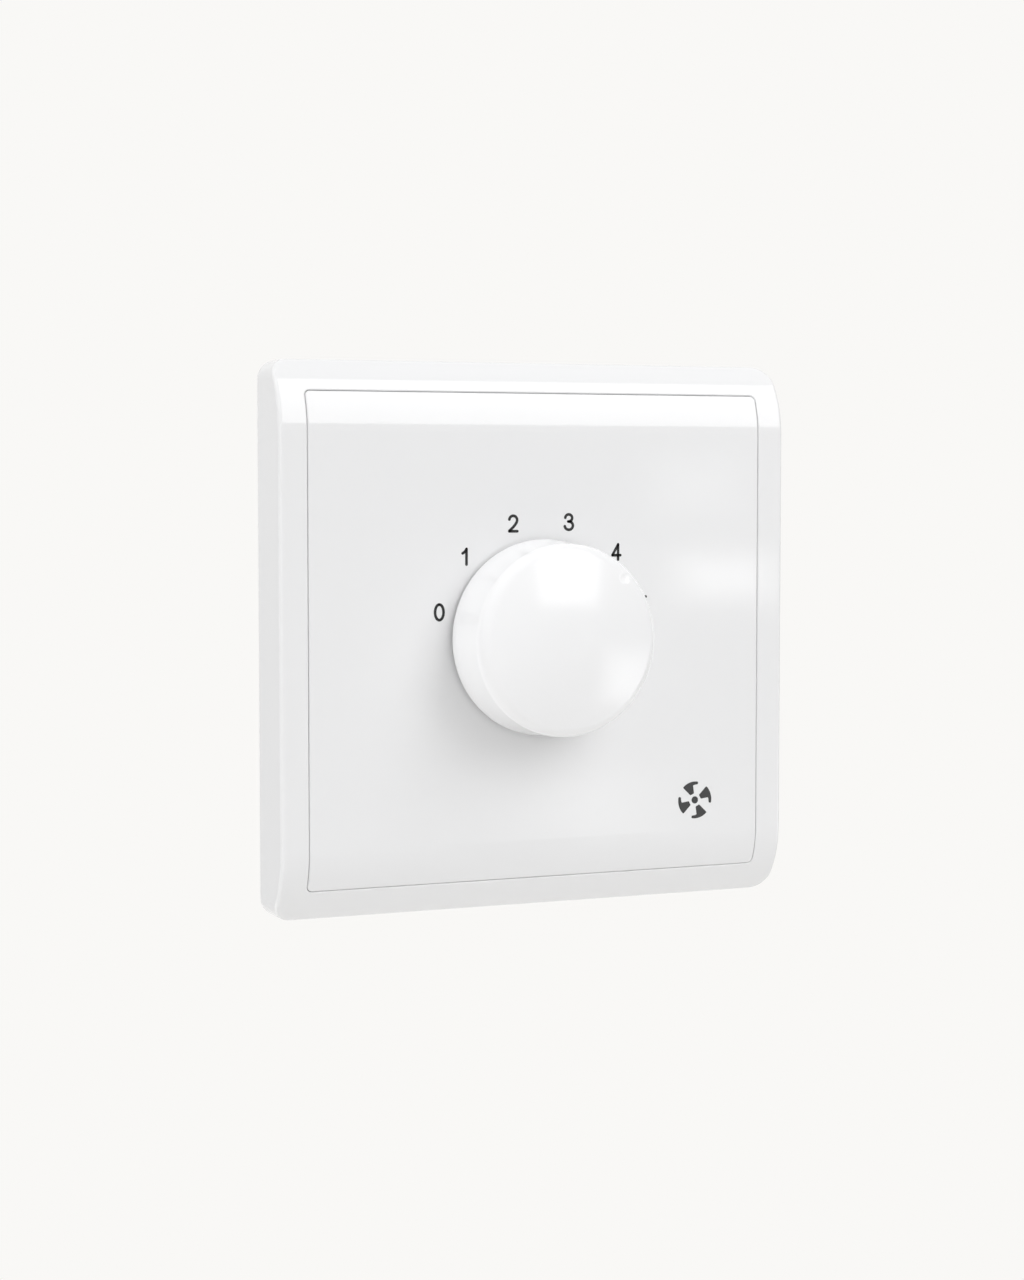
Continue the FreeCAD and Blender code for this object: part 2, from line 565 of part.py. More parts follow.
def rear_housing():
    """Moulded box behind the mounting plate, with screw ears, vents and two open terminal wells."""
    half_width = HOUSING_WIDTH / 2
    main = slab(half_width, (HOUSING_TOP - BLOCK_TOP) / 2, HOUSING_CORNER_RADIUS, WEB_BACK, HOUSING_REACH,
                (HOUSING_TOP + BLOCK_TOP) / 2)
    main = main.makeFillet(HOUSING_REAR_EDGE_RADIUS, edges_where(main, lambda p: p.y > HOUSING_REACH - NEAR))
    block = slab(half_width, HOUSING_HEIGHT / 2, HOUSING_CORNER_RADIUS, WEB_BACK, TERMINAL_BLOCK_REACH)
    above_block = box(-half_width, half_width, WEB_BACK, HOUSING_REACH, BLOCK_TOP + HOUSING_CORNER_RADIUS,
                      HOUSING_TOP)
    ears = [housing_ear(x, z) for x, z in housing_screw_places()]
    shell = joined(main, block.cut(above_block), *ears).cut(housing_hollow())
    shell = joined(shell, *[terminal_well(x) for x in terminal_places()])
    pockets = [well_pocket(x) for x in terminal_places()]
    pin_holes = [rod(PILLAR_PIN_RADIUS + PIN_CLEARANCE, BOARD_BACK, WELL_FLOOR_BACK + CUT_PAST, x, z)
                 for x, z in pillar_pin_places()]
    screw_holes = [rod(HOUSING_SCREW_RADIUS + EAR_HOLE_CLEARANCE, WEB_BACK - CUT_PAST, HOUSING_REACH, x, z)
                   for x, z in housing_screw_places()]
    return shell.cut(all_of(pockets + pin_holes + screw_holes + vents()))


def housing_hollow():
    """The room inside: full depth behind the switch, shallower over the terminal block."""
    half_width = HOUSING_WIDTH / 2 - HOUSING_WALL
    radius = HOUSING_CORNER_RADIUS - HOUSING_WALL
    front = WEB_BACK - CUT_PAST
    top, foot = HOUSING_TOP - HOUSING_WALL, HOUSING_FOOT + HOUSING_WALL
    step = BLOCK_TOP + HOUSING_WALL
    deep = slab(half_width, (top - step) / 2, radius, front, HOUSING_REACH - HOUSING_WALL, (top + step) / 2)
    shallow = slab(half_width, (top - foot) / 2, radius, front, TERMINAL_BLOCK_REACH - HOUSING_WALL)
    return joined(deep, shallow)


def housing_ear(x, z):
    """A lug on the housing's front rim for one screw into the mounting plate."""
    back = WEB_BACK + EAR_THICKNESS
    x_from, x_to = sorted((x, x - math.copysign(EAR_REACH + HOUSING_WALL, x)))
    bridge = box(x_from, x_to, WEB_BACK, back, z - EAR_RADIUS, z + EAR_RADIUS)
    return joined(rod(EAR_RADIUS, WEB_BACK, back, x, z), bridge)


def well_half_width():
    return PILLAR_WIDTH / 2 + PILLAR_GAP


def terminal_well(x):
    """The walls of a well that stand inside the terminal block."""
    half = well_half_width() + WELL_WALL
    return box(x - half, x + half, WELL_FLOOR_FRONT, TERMINAL_BLOCK_REACH, HOUSING_FOOT, BLOCK_TOP)


def well_pocket(x):
    """A well is open to the rear for the screwdriver and at the foot for the wire."""
    half = well_half_width()
    return box(x - half, x + half, WELL_FLOOR_BACK, HOUSING_REACH + CUT_PAST, HOUSING_FOOT - CUT_PAST,
               PILLAR_TOP + PILLAR_GAP)


def vents():
    """Upright slots through the rear wall, over the capacitors."""
    centre = (HOUSING_TOP + BLOCK_TOP) / 2
    half_run = (VENT_LENGTH - VENT_WIDTH) / 2
    front, back = HOUSING_REACH - 2 * HOUSING_WALL, HOUSING_REACH + CUT_PAST
    run = box(-VENT_WIDTH / 2, VENT_WIDTH / 2, front, back, centre - half_run, centre + half_run)
    ends = [rod(VENT_WIDTH / 2, front, back, 0.0, centre + side * half_run) for side in (-1, 1)]
    slot = joined(run, *ends)
    return [moved(slot, x=(i - (VENT_COUNT - 1) / 2) * VENT_PITCH) for i in range(VENT_COUNT)]


def slotted_head(radius, height):
    """A pan head along Y with its underside at Y = 0, a rounded crown and a drive slot."""
    head = rod(radius, 0.0, height)
    head = head.makeFillet(SCREW_HEAD_CROWN, edges_where(head, lambda p: p.y > height - NEAR))
    return head.cut(box(-radius, radius, height - DRIVE_SLOT_DEPTH, height + CUT_PAST,
                        -DRIVE_SLOT_WIDTH / 2, DRIVE_SLOT_WIDTH / 2))


def housing_screws():
    """Four pointed self-tapping screws through the ears; each has its own drive angle."""
    shank = rod(HOUSING_SCREW_RADIUS, -HOUSING_SCREW_LENGTH, 0.0)
    point = Part.makeCone(HOUSING_SCREW_RADIUS, HOUSING_SCREW_POINT_RADIUS, HOUSING_SCREW_POINT,
                          Vector(0, -HOUSING_SCREW_LENGTH, 0), -ALONG_Y)
    screw = joined(slotted_head(HOUSING_SCREW_HEAD_RADIUS, HOUSING_SCREW_HEAD_HEIGHT), shank, point)
    places = housing_screw_places()
    turns = [HOUSING_SCREW_FIRST_TURN + 180.0 * i / len(places) for i in range(len(places))]
    return Part.makeCompound([moved(turned(screw, turn), x, WEB_BACK + EAR_THICKNESS, z)
                              for (x, z), turn in zip(places, turns)])


def pillar_pin_places():
    heights = (PILLAR_MIDDLE - PILLAR_PIN_OFFSET, PILLAR_MIDDLE + PILLAR_PIN_OFFSET)
    return [(x, z) for x in terminal_places() for z in heights]


def terminal_pillar(x):
    """Brass block with a wire bore from its foot, a tapped hole from behind and two solder pins."""
    half = PILLAR_WIDTH / 2
    block = box(x - half, x + half, WELL_FLOOR_BACK, PILLAR_BACK, PILLAR_FOOT, PILLAR_TOP)
    block = block.makeChamfer(PILLAR_EDGE, [e for e in block.Edges if runs_along(e, ALONG_Z)])
    bore = Part.makeCylinder(WIRE_BORE_RADIUS, PILLAR_LENGTH, Vector(x, WIRE_AXIS_Y, PILLAR_FOOT), ALONG_Z)
    tapped = rod(TERMINAL_SCREW_RADIUS + SCREW_CLEARANCE, WIRE_AXIS_Y, PILLAR_BACK, x, PILLAR_MIDDLE)
    pins = [rod(PILLAR_PIN_RADIUS, BOARD_FRONT - PIN_STICK_OUT, WELL_FLOOR_BACK, px, pz)
            for px, pz in pillar_pin_places() if px == x]
    return joined(block.cut(bore).cut(tapped), *pins)


def terminal_screws():
    """The two clamping screws, backed out as delivered, so that the wire bores are clear."""
    tip = WIRE_AXIS_Y + WIRE_BORE_RADIUS + TERMINAL_SCREW_TIP_GAP
    shank = rod(TERMINAL_SCREW_RADIUS, tip - TERMINAL_SCREW_SEAT, 0.0)
    screw = joined(slotted_head(TERMINAL_SCREW_HEAD_RADIUS, TERMINAL_SCREW_HEAD_HEIGHT), shank)
    turns = (LINE_SCREW_TURN, LOAD_SCREW_TURN)
    return Part.makeCompound([moved(turned(screw, turn), x, TERMINAL_SCREW_SEAT, PILLAR_MIDDLE)
                              for x, turn in zip(terminal_places(), turns)])


def capacitor_centres():
    """Heights of the upper and lower capacitor, stacked down from the top of the housing."""
    upper = HOUSING_TOP - HOUSING_WALL - CAPACITOR_GAP - CAPACITOR_HEIGHT / 2
    return upper, upper - CAPACITOR_HEIGHT - CAPACITOR_GAP


def capacitor_pin_places(z):
    x = CAPACITOR_WIDTH / 2 - CAPACITOR_PIN_INSET
    return [(-x, z), (x, z)]


def capacitor(z):
    """A film capacitor in a box case, on four moulded feet that keep it off the solder joints."""
    half_width, half_height = CAPACITOR_WIDTH / 2, CAPACITOR_HEIGHT / 2
    front = BOARD_BACK + CAPACITOR_FOOT
    case = box(-half_width, half_width, front, CAPACITOR_BACK, z - half_height, z + half_height)
    case = case.makeFillet(CAPACITOR_EDGE, edges_where(case, lambda p: p.y > front + NEAR))
    half_foot = CAPACITOR_FOOT_WIDTH / 2
    foot = box(-half_foot, half_foot, BOARD_BACK, front, z - half_foot, z + half_foot)
    to_foot = CAPACITOR_EDGE + half_foot
    feet = [moved(foot, x=dx, z=dz)
            for dx, dz in in_all_quarters(half_width - to_foot, half_height - to_foot)]
    pins = [rod(CAPACITOR_PIN_RADIUS, BOARD_FRONT - PIN_STICK_OUT, front, px, pz)
            for px, pz in capacitor_pin_places(z)]
    return joined(case, *feet, *pins)


def resistor_places():
    return in_all_quarters(RESISTOR_OFFSET_X, RESISTOR_OFFSET_Z)


def resistor_lead_half_span():
    return RESISTOR_LENGTH / 2 + RESISTOR_LEAD_REACH


def resistor_lead_places():
    half = resistor_lead_half_span()
    return [(x, z + side * half) for x, z in resistor_places() for side in (-1, 1)]


def resistors():
    """Four axial resistors on the front of the board, each with two bent leads."""
    y = BOARD_FRONT - RESISTOR_LIFT - RESISTOR_RADIUS
    body = Part.makeCylinder(RESISTOR_RADIUS, RESISTOR_LENGTH, Vector(0, y, -RESISTOR_LENGTH / 2), ALONG_Z)
    ends = edges_where(body, lambda p: abs(abs(p.z) - RESISTOR_LENGTH / 2) < NEAR)
    body = body.makeFillet(RESISTOR_EDGE_RADIUS, ends)
    lead = resistor_lead(y)
    one = joined(body, lead, lead.mirror(ORIGIN, ALONG_Z))
    return Part.makeCompound([moved(one, x=x, z=z) for x, z in resistor_places()])


def resistor_lead(y):
    """A lead from the middle of a resistor: out along its axis, round a bend and through the board."""
    bend, end = RESISTOR_BEND_RADIUS, resistor_lead_half_span()
    bend_start = Vector(0, y, end - bend)
    section = Part.Face(Part.Wire(Part.makeCircle(RESISTOR_LEAD_RADIUS, bend_start, ALONG_Z)))
    inner_run = section.extrude(Vector(0, 0, bend - end))
    corner = section.revolve(bend_start + Vector(0, bend, 0), -ALONG_X, 90.0)
    tail = rod(RESISTOR_LEAD_RADIUS, y + bend, BOARD_BACK + PIN_STICK_OUT, 0.0, end)
    return joined(inner_run, corner, tail)


def contact_places():
    """Position 0 is off, so it has no contact."""
    angles = [FIRST_POSITION_ANGLE + STEP_ANGLE * i for i in range(1, POSITION_COUNT)]
    points = [dial_point(CONTACT_CIRCLE_RADIUS, angle) for angle in angles]
    return [(p.x, p.z) for p in points]


def common_pin_place():
    point = dial_point(COMMON_RING_BORE + COMMON_RING_WIDTH / 2, REST_ANGLE + 180.0)
    return point.x, point.z


def circuit_board():
    """Board behind the switch, drilled for every pin that it carries."""
    half_width = HOUSING_WIDTH / 2 - HOUSING_WALL - BOARD_EDGE_GAP
    half_height = HOUSING_HEIGHT / 2 - HOUSING_WALL - BOARD_EDGE_GAP
    board = box(-half_width, half_width, BOARD_FRONT, BOARD_BACK, -half_height, half_height)
    board = board.makeChamfer(BOARD_CORNER_CUT, [e for e in board.Edges if runs_along(e, ALONG_Y)])
    capacitor_pins = [place for z in capacitor_centres() for place in capacitor_pin_places(z)]
    switch_pins = contact_places() + [common_pin_place()]
    drilled = [(PILLAR_PIN_RADIUS, pillar_pin_places()), (CAPACITOR_PIN_RADIUS, capacitor_pins),
               (RESISTOR_LEAD_RADIUS, resistor_lead_places()), (CONTACT_PIN_RADIUS, switch_pins)]
    drills = [rod(radius + PIN_CLEARANCE, BOARD_FRONT - CUT_PAST, BOARD_BACK + CUT_PAST, x, z)
              for radius, places in drilled for x, z in places]
    return board.cut(all_of(drills))


def rivet_places():
    return in_all_quarters(SWITCH_HALF_SIZE - RIVET_INSET, SWITCH_HALF_SIZE - RIVET_INSET)


def bush_plate():
    """Die-cast front of the switch: a square plate with the threaded bush that carries the spindle."""
    plate = slab(SWITCH_HALF_SIZE, SWITCH_HALF_SIZE, SWITCH_CORNER_RADIUS, WEB_BACK, COVER_BACK)
    bush = rod(BUSH_RADIUS, BUSH_END, COVER_BACK)
    bush = bush.makeChamfer(BUSH_CHAMFER, edges_where(bush, lambda p: p.y < BUSH_END + NEAR))
    bore = rod(SPINDLE_RADIUS + RUNNING_CLEARANCE, BUSH_END - CUT_PAST, COVER_BACK + CUT_PAST)
    head_floor = WEB_BACK + RIVET_HEAD_HEIGHT + PIN_CLEARANCE
    shank_hole = rod(RIVET_RADIUS + PIN_CLEARANCE, WEB_BACK, COVER_BACK + CUT_PAST)
    head_hole = rod(RIVET_HEAD_RADIUS + PIN_CLEARANCE, WEB_BACK - CUT_PAST, head_floor)
    rivet_holes = [moved(hole, x=x, z=z) for x, z in rivet_places() for hole in (shank_hole, head_hole)]
    return joined(plate, bush).cut(all_of([bore] + rivet_holes))


def lock_washer():
    """Toothed washer between the mounting plate and the nut."""
    front = WEB_FRONT - WASHER_THICKNESS
    washer = ring(WASHER_RADIUS, BUSH_RADIUS + BUSH_HOLE_CLEARANCE, front, WEB_FRONT)
    gaps = [dial_point(WASHER_RADIUS, 360.0 * i / WASHER_TOOTH_COUNT) for i in range(WASHER_TOOTH_COUNT)]
    return washer.cut(all_of([rod(WASHER_TOOTH_RADIUS, front - CUT_PAST, WEB_FRONT + CUT_PAST, g.x, g.z)
                              for g in gaps]))


def bush_nut():
    """Thin hexagon nut on the bush, with its front corners turned down."""
    back = WEB_FRONT - WASHER_THICKNESS
    corner_step = 360.0 / NUT_CORNER_COUNT
    corner_radius = NUT_ACROSS_FLATS / 2 / math.cos(math.radians(corner_step / 2))
    corners = [dial_point(corner_radius, corner_step * i, NUT_FRONT) for i in range(NUT_CORNER_COUNT)]
    nut = Part.Face(Part.makePolygon(corners + corners[:1])).extrude(Vector(0, NUT_THICKNESS, 0))
    narrow, flank = NUT_ACROSS_FLATS / 2, 2 * NUT_THICKNESS
    crown = Part.makeCone(narrow, narrow + flank, flank, Vector(0, NUT_FRONT, 0), ALONG_Y)
    return nut.common(crown).cut(rod(BUSH_RADIUS + NUT_CLEARANCE, NUT_FRONT - CUT_PAST, back + CUT_PAST))


def sector(outer, inner, y_from, y_to, start, sweep):
    """A part of a ring, from a clockwise start angle through a sweep, in degrees."""
    inner_start, outer_start = dial_point(inner, start, y_from), dial_point(outer, start, y_from)
    inner_end, outer_end = dial_point(inner, start + sweep, y_from), dial_point(outer, start + sweep, y_from)
    outer_arc = Part.Arc(outer_start, dial_point(outer, start + sweep / 2, y_from), outer_end).toShape()
    inner_arc = Part.Arc(inner_end, dial_point(inner, start + sweep / 2, y_from), inner_start).toShape()
    wire = Part.Wire([Part.makeLine(inner_start, outer_start), outer_arc,
                      Part.makeLine(outer_end, inner_end), inner_arc])
    return Part.Face(wire).extrude(Vector(0, y_to - y_from, 0))


def stop_wall_span():
    """Start and sweep of the fixed stop wall, which leaves the lug the dial's whole travel."""
    travel = STEP_ANGLE * (POSITION_COUNT - 1)
    free = travel + STOP_LUG_ANGLE + 2 * STOP_CLEARANCE_ANGLE
    free_start = FIRST_POSITION_ANGLE + 180.0 - STOP_LUG_ANGLE / 2 - STOP_CLEARANCE_ANGLE
    return free_start + free, 360.0 - free


def switch_base():
    """Square cup that holds the rotor, with a stop wall, seats for the index spring and contact holes."""
    cup = slab(SWITCH_HALF_SIZE, SWITCH_HALF_SIZE, SWITCH_CORNER_RADIUS, COVER_BACK, SWITCH_BACK)
    cup = cup.cut(rod(SWITCH_CAVITY_RADIUS, COVER_BACK - CUT_PAST, SWITCH_FLOOR_FRONT))
    start, sweep = stop_wall_span()
    stop = sector(SWITCH_CAVITY_RADIUS + SWITCH_WALL / 2, STOP_WALL_RADIUS, ROTOR_STEP + STOP_FACE_GAP,
                  SWITCH_FLOOR_FRONT, start, sweep)
    floor_front, floor_back = SWITCH_FLOOR_FRONT - CUT_PAST, SWITCH_BACK + CUT_PAST
    pivot_hole = rod(SPINDLE_PIVOT_RADIUS + RUNNING_CLEARANCE, floor_front, floor_back)
    pin_holes = [rod(CONTACT_PIN_RADIUS + PIN_CLEARANCE, floor_front, floor_back, x, z)
                 for x, z in contact_places() + [common_pin_place()]]
    rivet_holes = [rod(RIVET_RADIUS + PIN_CLEARANCE, COVER_BACK - CUT_PAST, floor_back, x, z)
                   for x, z in rivet_places()]
    return joined(cup, stop).cut(all_of([index_spring_seat(), pivot_hole] + pin_holes + rivet_holes))


def index_spring_half_length():
    """Half the strip's length: to the cavity's wall at its own height, and on into the seats."""
    return math.sqrt(SWITCH_CAVITY_RADIUS ** 2 - NOSE_CENTRE_RADIUS ** 2) + INDEX_SPRING_SEAT_DEPTH


def index_spring_front():
    return ROTOR_FRONT + (ROTOR_WHEEL_THICKNESS - INDEX_SPRING_WIDTH) / 2


def index_spring_seat():
    """A slot across the cup's wall, open to the front, that holds the ends of the index spring."""
    half = index_spring_half_length() + NOSE_CLEARANCE
    back = index_spring_front() + INDEX_SPRING_WIDTH + NOSE_CLEARANCE
    return box(-half, half, COVER_BACK - CUT_PAST, back, NOSE_CENTRE_RADIUS - NOSE_CLEARANCE,
               NOSE_CENTRE_RADIUS + INDEX_SPRING_THICKNESS + NOSE_CLEARANCE)


def index_spring():
    """Strip whose round nose drops into a notch of the rotor at each position."""
    front, back = index_spring_front(), index_spring_front() + INDEX_SPRING_WIDTH
    foot, top = NOSE_CENTRE_RADIUS, NOSE_CENTRE_RADIUS + INDEX_SPRING_THICKNESS
    nose = moved(ring(NOSE_RADIUS, NOSE_RADIUS - INDEX_SPRING_THICKNESS, front, back), z=foot)
    nose = nose.cut(box(-NOSE_RADIUS, NOSE_RADIUS, front, back, foot, foot + NOSE_RADIUS))
    root = NOSE_RADIUS - INDEX_SPRING_THICKNESS
    arm = box(root, index_spring_half_length(), front, back, foot, top)
    return joined(nose, *on_both_sides(arm))


def switch_rivets():
    """Four rivets that close the switch: a flush head in the plate and another behind the cup."""
    shank = rod(RIVET_RADIUS, WEB_BACK, SWITCH_BACK + RIVET_HEAD_HEIGHT)
    heads = [rod(RIVET_HEAD_RADIUS, y, y + RIVET_HEAD_HEIGHT) for y in (WEB_BACK, SWITCH_BACK)]
    rivet = joined(shank, *heads)
    return Part.makeCompound([moved(rivet, x=x, z=z) for x, z in rivet_places()])


def fixed_contacts():
    """One contact for each speed: a flat head on the cup's floor and a pin to the board."""
    head = rod(CONTACT_HEAD_RADIUS, CONTACT_FACE, SWITCH_FLOOR_FRONT)
    pin = rod(CONTACT_PIN_RADIUS, SWITCH_FLOOR_FRONT, BOARD_BACK + PIN_STICK_OUT)
    contact = joined(head, pin)
    return Part.makeCompound([moved(contact, x=x, z=z) for x, z in contact_places()])


def common_contact():
    """Ring round the pivot that the wiper's inner end never leaves."""
    flat = ring(COMMON_RING_RADIUS, COMMON_RING_BORE, CONTACT_FACE, SWITCH_FLOOR_FRONT)
    x, z = common_pin_place()
    return joined(flat, rod(CONTACT_PIN_RADIUS, SWITCH_FLOOR_FRONT, BOARD_BACK + PIN_STICK_OUT, x, z))


def rotor():
    """Moulded drum on the spindle: a notched index wheel, a disc that carries the wiper, and a stop lug."""
    pitch = 360.0 / ROTOR_NOTCH_COUNT
    places = [dial_point(NOSE_CENTRE_RADIUS, pitch * i) for i in range(ROTOR_NOTCH_COUNT)]
    notch_radius = NOSE_RADIUS + NOSE_CLEARANCE
    notches = [rod(notch_radius, ROTOR_FRONT - CUT_PAST, ROTOR_STEP, p.x, p.z) for p in places]
    wheel = rod(ROTOR_WHEEL_RADIUS, ROTOR_FRONT, ROTOR_STEP).cut(all_of(notches))
    disc = rod(ROTOR_DISC_RADIUS, ROTOR_STEP, ROTOR_BACK)
    lug = sector(STOP_LUG_RADIUS, ROTOR_DISC_RADIUS / 2, ROTOR_STEP + STOP_FACE_GAP, ROTOR_BACK,
                 REST_ANGLE + 180.0 - STOP_LUG_ANGLE / 2, STOP_LUG_ANGLE)
    key = SPINDLE_SQUARE / 2 + KEY_CLEARANCE
    keyway = box(-key, key, ROTOR_FRONT - CUT_PAST, ROTOR_BACK + CUT_PAST, -key, key)
    return joined(wheel, disc, lug).cut(turned(keyway, REST_ANGLE))


def wiper():
    """Contact strip on the rotor's back, from the common ring out to a fixed contact, with two round tips."""
    inner, outer = COMMON_RING_BORE + COMMON_RING_WIDTH / 2, CONTACT_CIRCLE_RADIUS
    strip = box(-WIPER_WIDTH / 2, WIPER_WIDTH / 2, ROTOR_BACK, ROTOR_BACK + WIPER_THICKNESS,
                inner - WIPER_TIP_RADIUS, outer + WIPER_TIP_RADIUS)
    tips = [rod(WIPER_TIP_RADIUS, ROTOR_BACK, WIPER_TIP, 0.0, z) for z in (inner, outer)]
    return turned(joined(strip, *tips), REST_ANGLE)


def spindle():
    """Steel spindle: a flatted end for the knob, a circlip groove, a square for the rotor and a pivot."""
    shoulder = ROTOR_FRONT - ROTOR_FRONT_GAP / 2
    shaft = rod(SPINDLE_RADIUS, SPINDLE_FRONT, shoulder)
    shaft = shaft.makeChamfer(SPINDLE_CHAMFER, edges_where(shaft, lambda p: p.y < SPINDLE_FRONT + NEAR))
    half = SPINDLE_SQUARE / 2
    square = box(-half, half, shoulder, ROTOR_BACK, -half, half)
    pivot = rod(SPINDLE_PIVOT_RADIUS, ROTOR_BACK, SWITCH_BACK)
    groove = ring(SPINDLE_RADIUS + CUT_PAST, SPINDLE_RADIUS - CIRCLIP_GROOVE_DEPTH,
                  circlip_front() - CIRCLIP_GAP, circlip_front() + CIRCLIP_THICKNESS + CIRCLIP_GAP)
    flat = box(-SPINDLE_RADIUS, SPINDLE_RADIUS, SPINDLE_FRONT - CUT_PAST, SPINDLE_FRONT + SPINDLE_FLAT_LENGTH,
               -SPINDLE_RADIUS - CUT_PAST, -SPINDLE_FLAT)
    return turned(joined(shaft, square, pivot).cut(groove).cut(flat), REST_ANGLE)


def circlip_front():
    return BUSH_END - CIRCLIP_GAP - CIRCLIP_THICKNESS


def circlip():
    """Open retaining ring in the spindle's groove, against the end of the bush."""
    front, back = circlip_front(), circlip_front() + CIRCLIP_THICKNESS
    clip = ring(CIRCLIP_RADIUS, SPINDLE_RADIUS - CIRCLIP_GROOVE_DEPTH + CIRCLIP_GAP, front, back)
    mouth = box(-CIRCLIP_OPENING / 2, CIRCLIP_OPENING / 2, front - CUT_PAST, back + CUT_PAST,
                0.0, CIRCLIP_RADIUS + CUT_PAST)
    return turned(clip.cut(mouth), REST_ANGLE)


def knob_outline():
    """Half section of the knob's outside: waisted grip, then a shallow dome."""
    foot, rim = Vector(KNOB_BASE_RADIUS, KNOB_FOOT, 0), Vector(KNOB_RIM_RADIUS, KNOB_RIM, 0)
    middle = (foot + rim) * 0.5
    waist = Vector(middle.x - KNOB_WAIST, middle.y, 0)
    apex, centre_foot = Vector(0, KNOB_APEX, 0), Vector(0, KNOB_FOOT, 0)
    half_angle = math.asin(KNOB_RIM_RADIUS / DOME_RADIUS) / 2
    fall = DOME_RADIUS * (1 - math.cos(half_angle))
    on_dome = Vector(DOME_RADIUS * math.sin(half_angle), KNOB_APEX + fall, 0)
    return Part.Wire([Part.makeLine(centre_foot, foot), Part.Arc(foot, waist, rim).toShape(),
                      Part.Arc(rim, on_dome, apex).toShape(), Part.makeLine(apex, centre_foot)])


def knob():
    """Knob: domed cap, hollow behind, with a keyed boss for the spindle and ribs out to the grip."""
    outside = Part.Face(knob_outline()).revolve(ORIGIN, ALONG_Y, 360.0)
    rims = edges_where(outside, lambda p: abs(p.y - KNOB_RIM) < NEAR)
    outside = outside.makeFillet(KNOB_EDGE_RADIUS, rims)
    outer_foot = edges_where(outside, lambda p: abs(p.y - KNOB_FOOT) < NEAR)
    outside = outside.makeFillet(KNOB_FOOT_EDGE_RADIUS, outer_foot)
    shell = outside.cut(rod(KNOB_ROOM_RADIUS, KNOB_ROOF, KNOB_FOOT + CUT_PAST))
    root = KNOB_ROOF - KNOB_WALL / 2
    boss = rod(KNOB_BOSS_RADIUS, root, KNOB_FOOT - KNOB_BOSS_INSET)
    rib = box(-KNOB_RIB_THICKNESS / 2, KNOB_RIB_THICKNESS / 2, root, KNOB_FOOT - KNOB_RIB_INSET,
              0.0, KNOB_ROOM_RADIUS + KNOB_WALL / 2)
    ribs = [turned(rib, 360.0 * i / KNOB_RIB_COUNT) for i in range(KNOB_RIB_COUNT)]
    cap = joined(shell, boss, *ribs)
    return turned(cap.cut(knob_bore()).cut(clip_pocket()).cut(index_dimple()), REST_ANGLE)


def knob_bore():
    """Round bore with a flat, from the knob's foot to just past the spindle's end."""
    hole = rod(SPINDLE_RADIUS + KEY_CLEARANCE, KNOB_BORE_END, KNOB_FOOT + CUT_PAST)
    flat_end = SPINDLE_FRONT + SPINDLE_FLAT_LENGTH - KEY_CLEARANCE
    side = SPINDLE_RADIUS + CUT_PAST
    key = box(-side, side, KNOB_BORE_END - CUT_PAST, flat_end, -side, -SPINDLE_FLAT - KEY_CLEARANCE)
    return hole.cut(key)


def clip_front():
    return SPINDLE_FRONT + (SPINDLE_FLAT_LENGTH - CLIP_LENGTH) / 2


def clip_face():
    """How far from the axis the leaf's inner face lies."""
    return SPINDLE_FLAT + KEY_CLEARANCE


def clip_pocket():
    """Pocket beside the flat for the leaf that grips the spindle, open to the knob's foot."""
    half = CLIP_WIDTH / 2 + CLIP_GAP
    return box(-half, half, clip_front() - CLIP_GAP, KNOB_FOOT + CUT_PAST,
               -clip_face() - CLIP_THICKNESS - CLIP_GAP, 0.0)


def knob_clip():
    """Leaf of spring steel between the boss and the spindle's flat."""
    leaf = box(-CLIP_WIDTH / 2, CLIP_WIDTH / 2, clip_front(), clip_front() + CLIP_LENGTH,
               -clip_face() - CLIP_THICKNESS, -clip_face())
    return turned(leaf, REST_ANGLE)


def index_dimple():
    """Shallow round dimple in the dome that shows the position."""
    surface = KNOB_APEX + DOME_RADIUS - math.sqrt(DOME_RADIUS ** 2 - INDEX_RADIAL ** 2)
    sphere_radius = (INDEX_RADIUS ** 2 + INDEX_DEPTH ** 2) / (2 * INDEX_DEPTH)
    return Part.makeSphere(sphere_radius, Vector(0, surface + INDEX_DEPTH - sphere_radius, INDEX_RADIAL))


def pieces():
    """Every piece by its name."""
    upper, lower = capacitor_centres()
    left, right = terminal_places()
    return {
        "surround_frame": surround_frame(),
        "face_panel": face_panel(),
        "mounting_plate": mounting_plate(),
        "rear_housing": rear_housing(),
        "housing_screws": housing_screws(),
        "terminal_pillar_line": terminal_pillar(left),
        "terminal_pillar_load": terminal_pillar(right),
        "terminal_screws": terminal_screws(),
        "circuit_board": circuit_board(),
        "capacitor_upper": capacitor(upper),
        "capacitor_lower": capacitor(lower),
        "resistors": resistors(),
        "bush_plate": bush_plate(),
        "lock_washer": lock_washer(),
        "bush_nut": bush_nut(),
        "switch_base": switch_base(),
        "switch_rivets": switch_rivets(),
        "index_spring": index_spring(),
        "fixed_contacts": fixed_contacts(),
        "common_contact": common_contact(),
        "rotor": rotor(),
        "wiper": wiper(),
        "spindle": spindle(),
        "circlip": circlip(),
        "knob": knob(),
        "knob_clip": knob_clip(),
    }


def main():
    os.makedirs("parts", exist_ok=True)
    for name, shape in pieces().items():
        shape.exportStep("parts/" + name + ".step")
        print(f"{name}: {len(shape.Solids)} solid(s), {shape.Volume:.1f} mm3, valid {shape.isValid()}")


if __name__ == "__main__":
    main()
